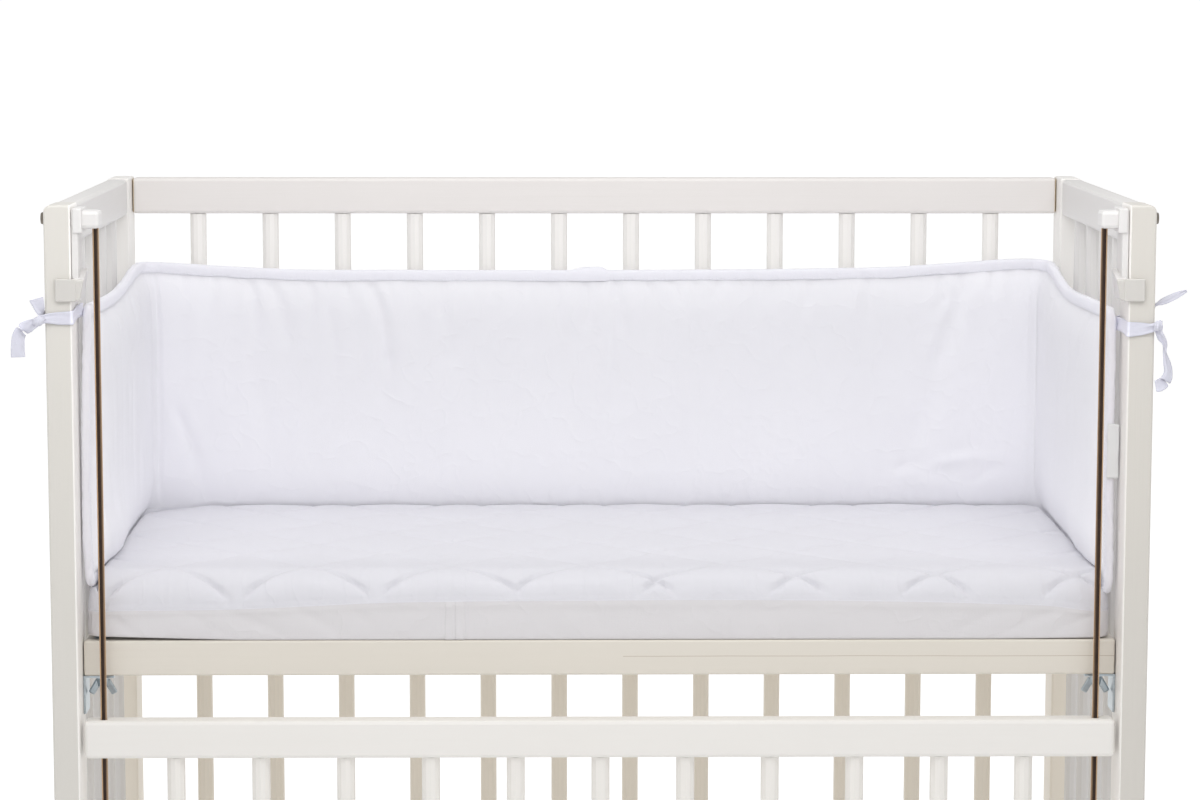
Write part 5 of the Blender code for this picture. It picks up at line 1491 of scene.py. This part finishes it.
relief = quilt_relief(world_x, MATTRESS_FRONT + y - wrap)
on_shoulder = np.clip(1 - edge / SHOULDER, 0, 1)
loose = ease(np.minimum(edge, SHOULDER), 0.006, 1.5) * np.clip(1 - pressed / PRESS_FADE, 0, 1)
loose = loose * ease(np.maximum(in_front, 0), FOOT_FADE)
relief = relief * (0.9 + 1.7 * on_shoulder) * loose
small = 0.35 * value_noise(world_x * 60, y * 60, 71) + 0.45 * value_noise(world_x * 24, y * 30, 72)
relief = relief + MM * small * loose
front_gathers = gather_relief(world_x - MATTRESS_LEFT, edge, 73, 150, ACROSS)
relief = relief + 0.6 * front_gathers * is_front * ease(edge, 0.003)
drop = MATTRESS_TOP + fall - crown * np.clip(1 - pressed / PRESS_FADE, 0, 1) + relief * 0.8
from_side_pad = np.clip((TAPE_X - np.abs(world_x) - SIDE_CLEAR) / SIDE_CLEAR, 0, 1)
drop = drop - smooth_table(BACK_RIM, TAPE_BACK - MATTRESS_FRONT - y) * from_side_pad
depth = MATTRESS_FRONT + y + np.where(is_front, relief * 0.6 * on_shoulder, 0)
top = at(world_x, depth, drop)
print("mattress top:", x.shape, "points")

# %% [markdown]
# The band hangs from the outer ring of the top. It goes down in levels, each pushed out or in,
# with soft folds near the front corners and the upright seam where its two ends meet.

# %% Shape the band
rows, columns = x.shape
ring = outer_ring(rows, columns)
ring_x, ring_y = x.ravel()[ring], y.ravel()[ring]
ring_top = drop.ravel()[ring]
corner_lift = 0.0036 * np.maximum(0, 1 - np.hypot(ring_x, ring_y) / 0.135)
corner_lift = corner_lift + 0.0012 * np.maximum(0, 1 - np.hypot(ACROSS - ring_x, ring_y) / 0.10)
ring_foot = MATTRESS_FOOT - corner_lift
outward = np.stack([
    np.clip((np.abs(place) - (half - PLAN_ROUND)) / PLAN_ROUND, 0, 1) * np.sign(place)
    for place, half in ((ring_x - ACROSS / 2, ACROSS / 2), (ring_y - DEEP / 2, DEEP / 2))
], axis=-1)
outward /= np.maximum(np.linalg.norm(outward, axis=1), 1e-6)[:, None]
ring_run = np.concatenate([[0], np.cumsum(np.hypot(np.diff(ring_x), np.diff(ring_y)))])
GROOVE_HALF, GROOVE_BESIDE = 0.0006, 0.0093
BAND_SHARES = (0.0, 0.03, 0.07, 0.12, 0.16, 0.20, 0.26, 0.34, 0.44, 0.55, 0.66, 0.77, 0.87, 0.94, 0.98, 1.0)
BAND_OUT = (0.05, 0.0, 0.1, 0.2, 0.2, 0.0, -0.2, -0.1, 0.15, 0.35, 0.45, 0.45, 0.35, 0.2, -0.1, -0.9)
# Soft folds of the band, most of them near the front corners: x, lean, depth and half width in mm.
BAND_FOLDS = (
    (-0.420, 0.9, 0.9, 7), (-0.345, 1.4, 0.8, 7), (-0.300, 1.8, 1.0, 9), (-0.245, 1.6, 0.9, 9),
    (-0.205, 1.2, 0.6, 7), (0.330, -1.9, 0.9, 9), (0.375, -2.2, 1.2, 9), (0.415, -1.6, 1.0, 7),
    (0.150, -0.6, 0.4, 12), (-0.050, 0.5, 0.4, 12),
)
from_join = np.abs(MATTRESS_LEFT + ring_x - BAND_JOIN)
strip = 0.6 * np.clip((STRIP_HALF + 0.0004 - from_join) / 0.0008, 0, 1)
middle_groove = 0.9 * np.exp(-((from_join / GROOVE_HALF) ** 2))
side_groove = 0.35 * np.exp(-(((from_join - GROOVE_BESIDE) / GROOVE_HALF) ** 2))
joined = (strip - middle_groove - side_groove) * MM
points = [top.reshape(-1, 3)]
flats = [np.stack([world_x, y + fall, x * 0], axis=-1).reshape(-1, 3)]
front_ring = np.clip(-outward[:, 1], 0, 1)
for share, out in zip(BAND_SHARES, BAND_OUT):
    dent = np.zeros_like(ring_x)
    for place, lean, deep, wide in BAND_FOLDS:
        offset = (MATTRESS_LEFT + ring_x - place - lean * 0.03 * (share - 0.5)) / (wide * MM)
        dent += deep * MM * np.exp(-(offset**2)) * math.sin(math.pi * share)
    wavy = 0.5 * noise_along(ring_run, 22, 81, share * 2) * math.sin(math.pi * share)
    push = (out + wavy) * MM - dent * front_ring + joined * front_ring * min(1.0, share / 0.12)
    line_x = MATTRESS_LEFT + ring_x + outward[:, 0] * push
    line_y = MATTRESS_FRONT + ring_y + outward[:, 1] * push
    line_drop = ring_top + (ring_foot - ring_top) * share
    points.append(at(line_x, line_y, line_drop))
    flats.append(np.stack([ring_run, (line_drop - MATTRESS_BAND) + 1.0, ring_run * 0], axis=-1))
print("levels of the band:", len(BAND_SHARES))

# %% [markdown]
# Faces join the top's grid, its outer ring and the band's levels, and one large face closes the
# underside, which lies on the board and is never seen. The band's faces take the plainer cotton.

# %% Make the mattress
band_start = rows * columns
count = len(ring)
here, after = np.arange(count), np.roll(np.arange(count), -1)
levels = [ring] + [band_start + level * count + here for level in range(len(BAND_SHARES))]
faces = [grid_faces(rows, columns)[:, ::-1]]
for above, below in zip(levels, levels[1:]):
    faces.append(np.stack([above, above[after], below[after], below], axis=-1))
underside = levels[-1][::-1]
mattress = new_piece(
    "quilted_mattress", np.concatenate(points), [*np.concatenate(faces), underside], np.concatenate(flats),
    mattress_cotton,
)
mattress.data.materials.append(band_cotton)
in_band = np.arange(len(mattress.data.polygons)) >= len(faces[0]) + count * 2
mattress.data.polygons.foreach_set("material_index", in_band.astype(np.int32))
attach(mattress, "crib")
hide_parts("mattress")
print("mattress faces:", len(mattress.data.polygons))

# %% [markdown]
# The tape is a sheet of cloth too, cut as a strip and folded in two along its length.

low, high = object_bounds()
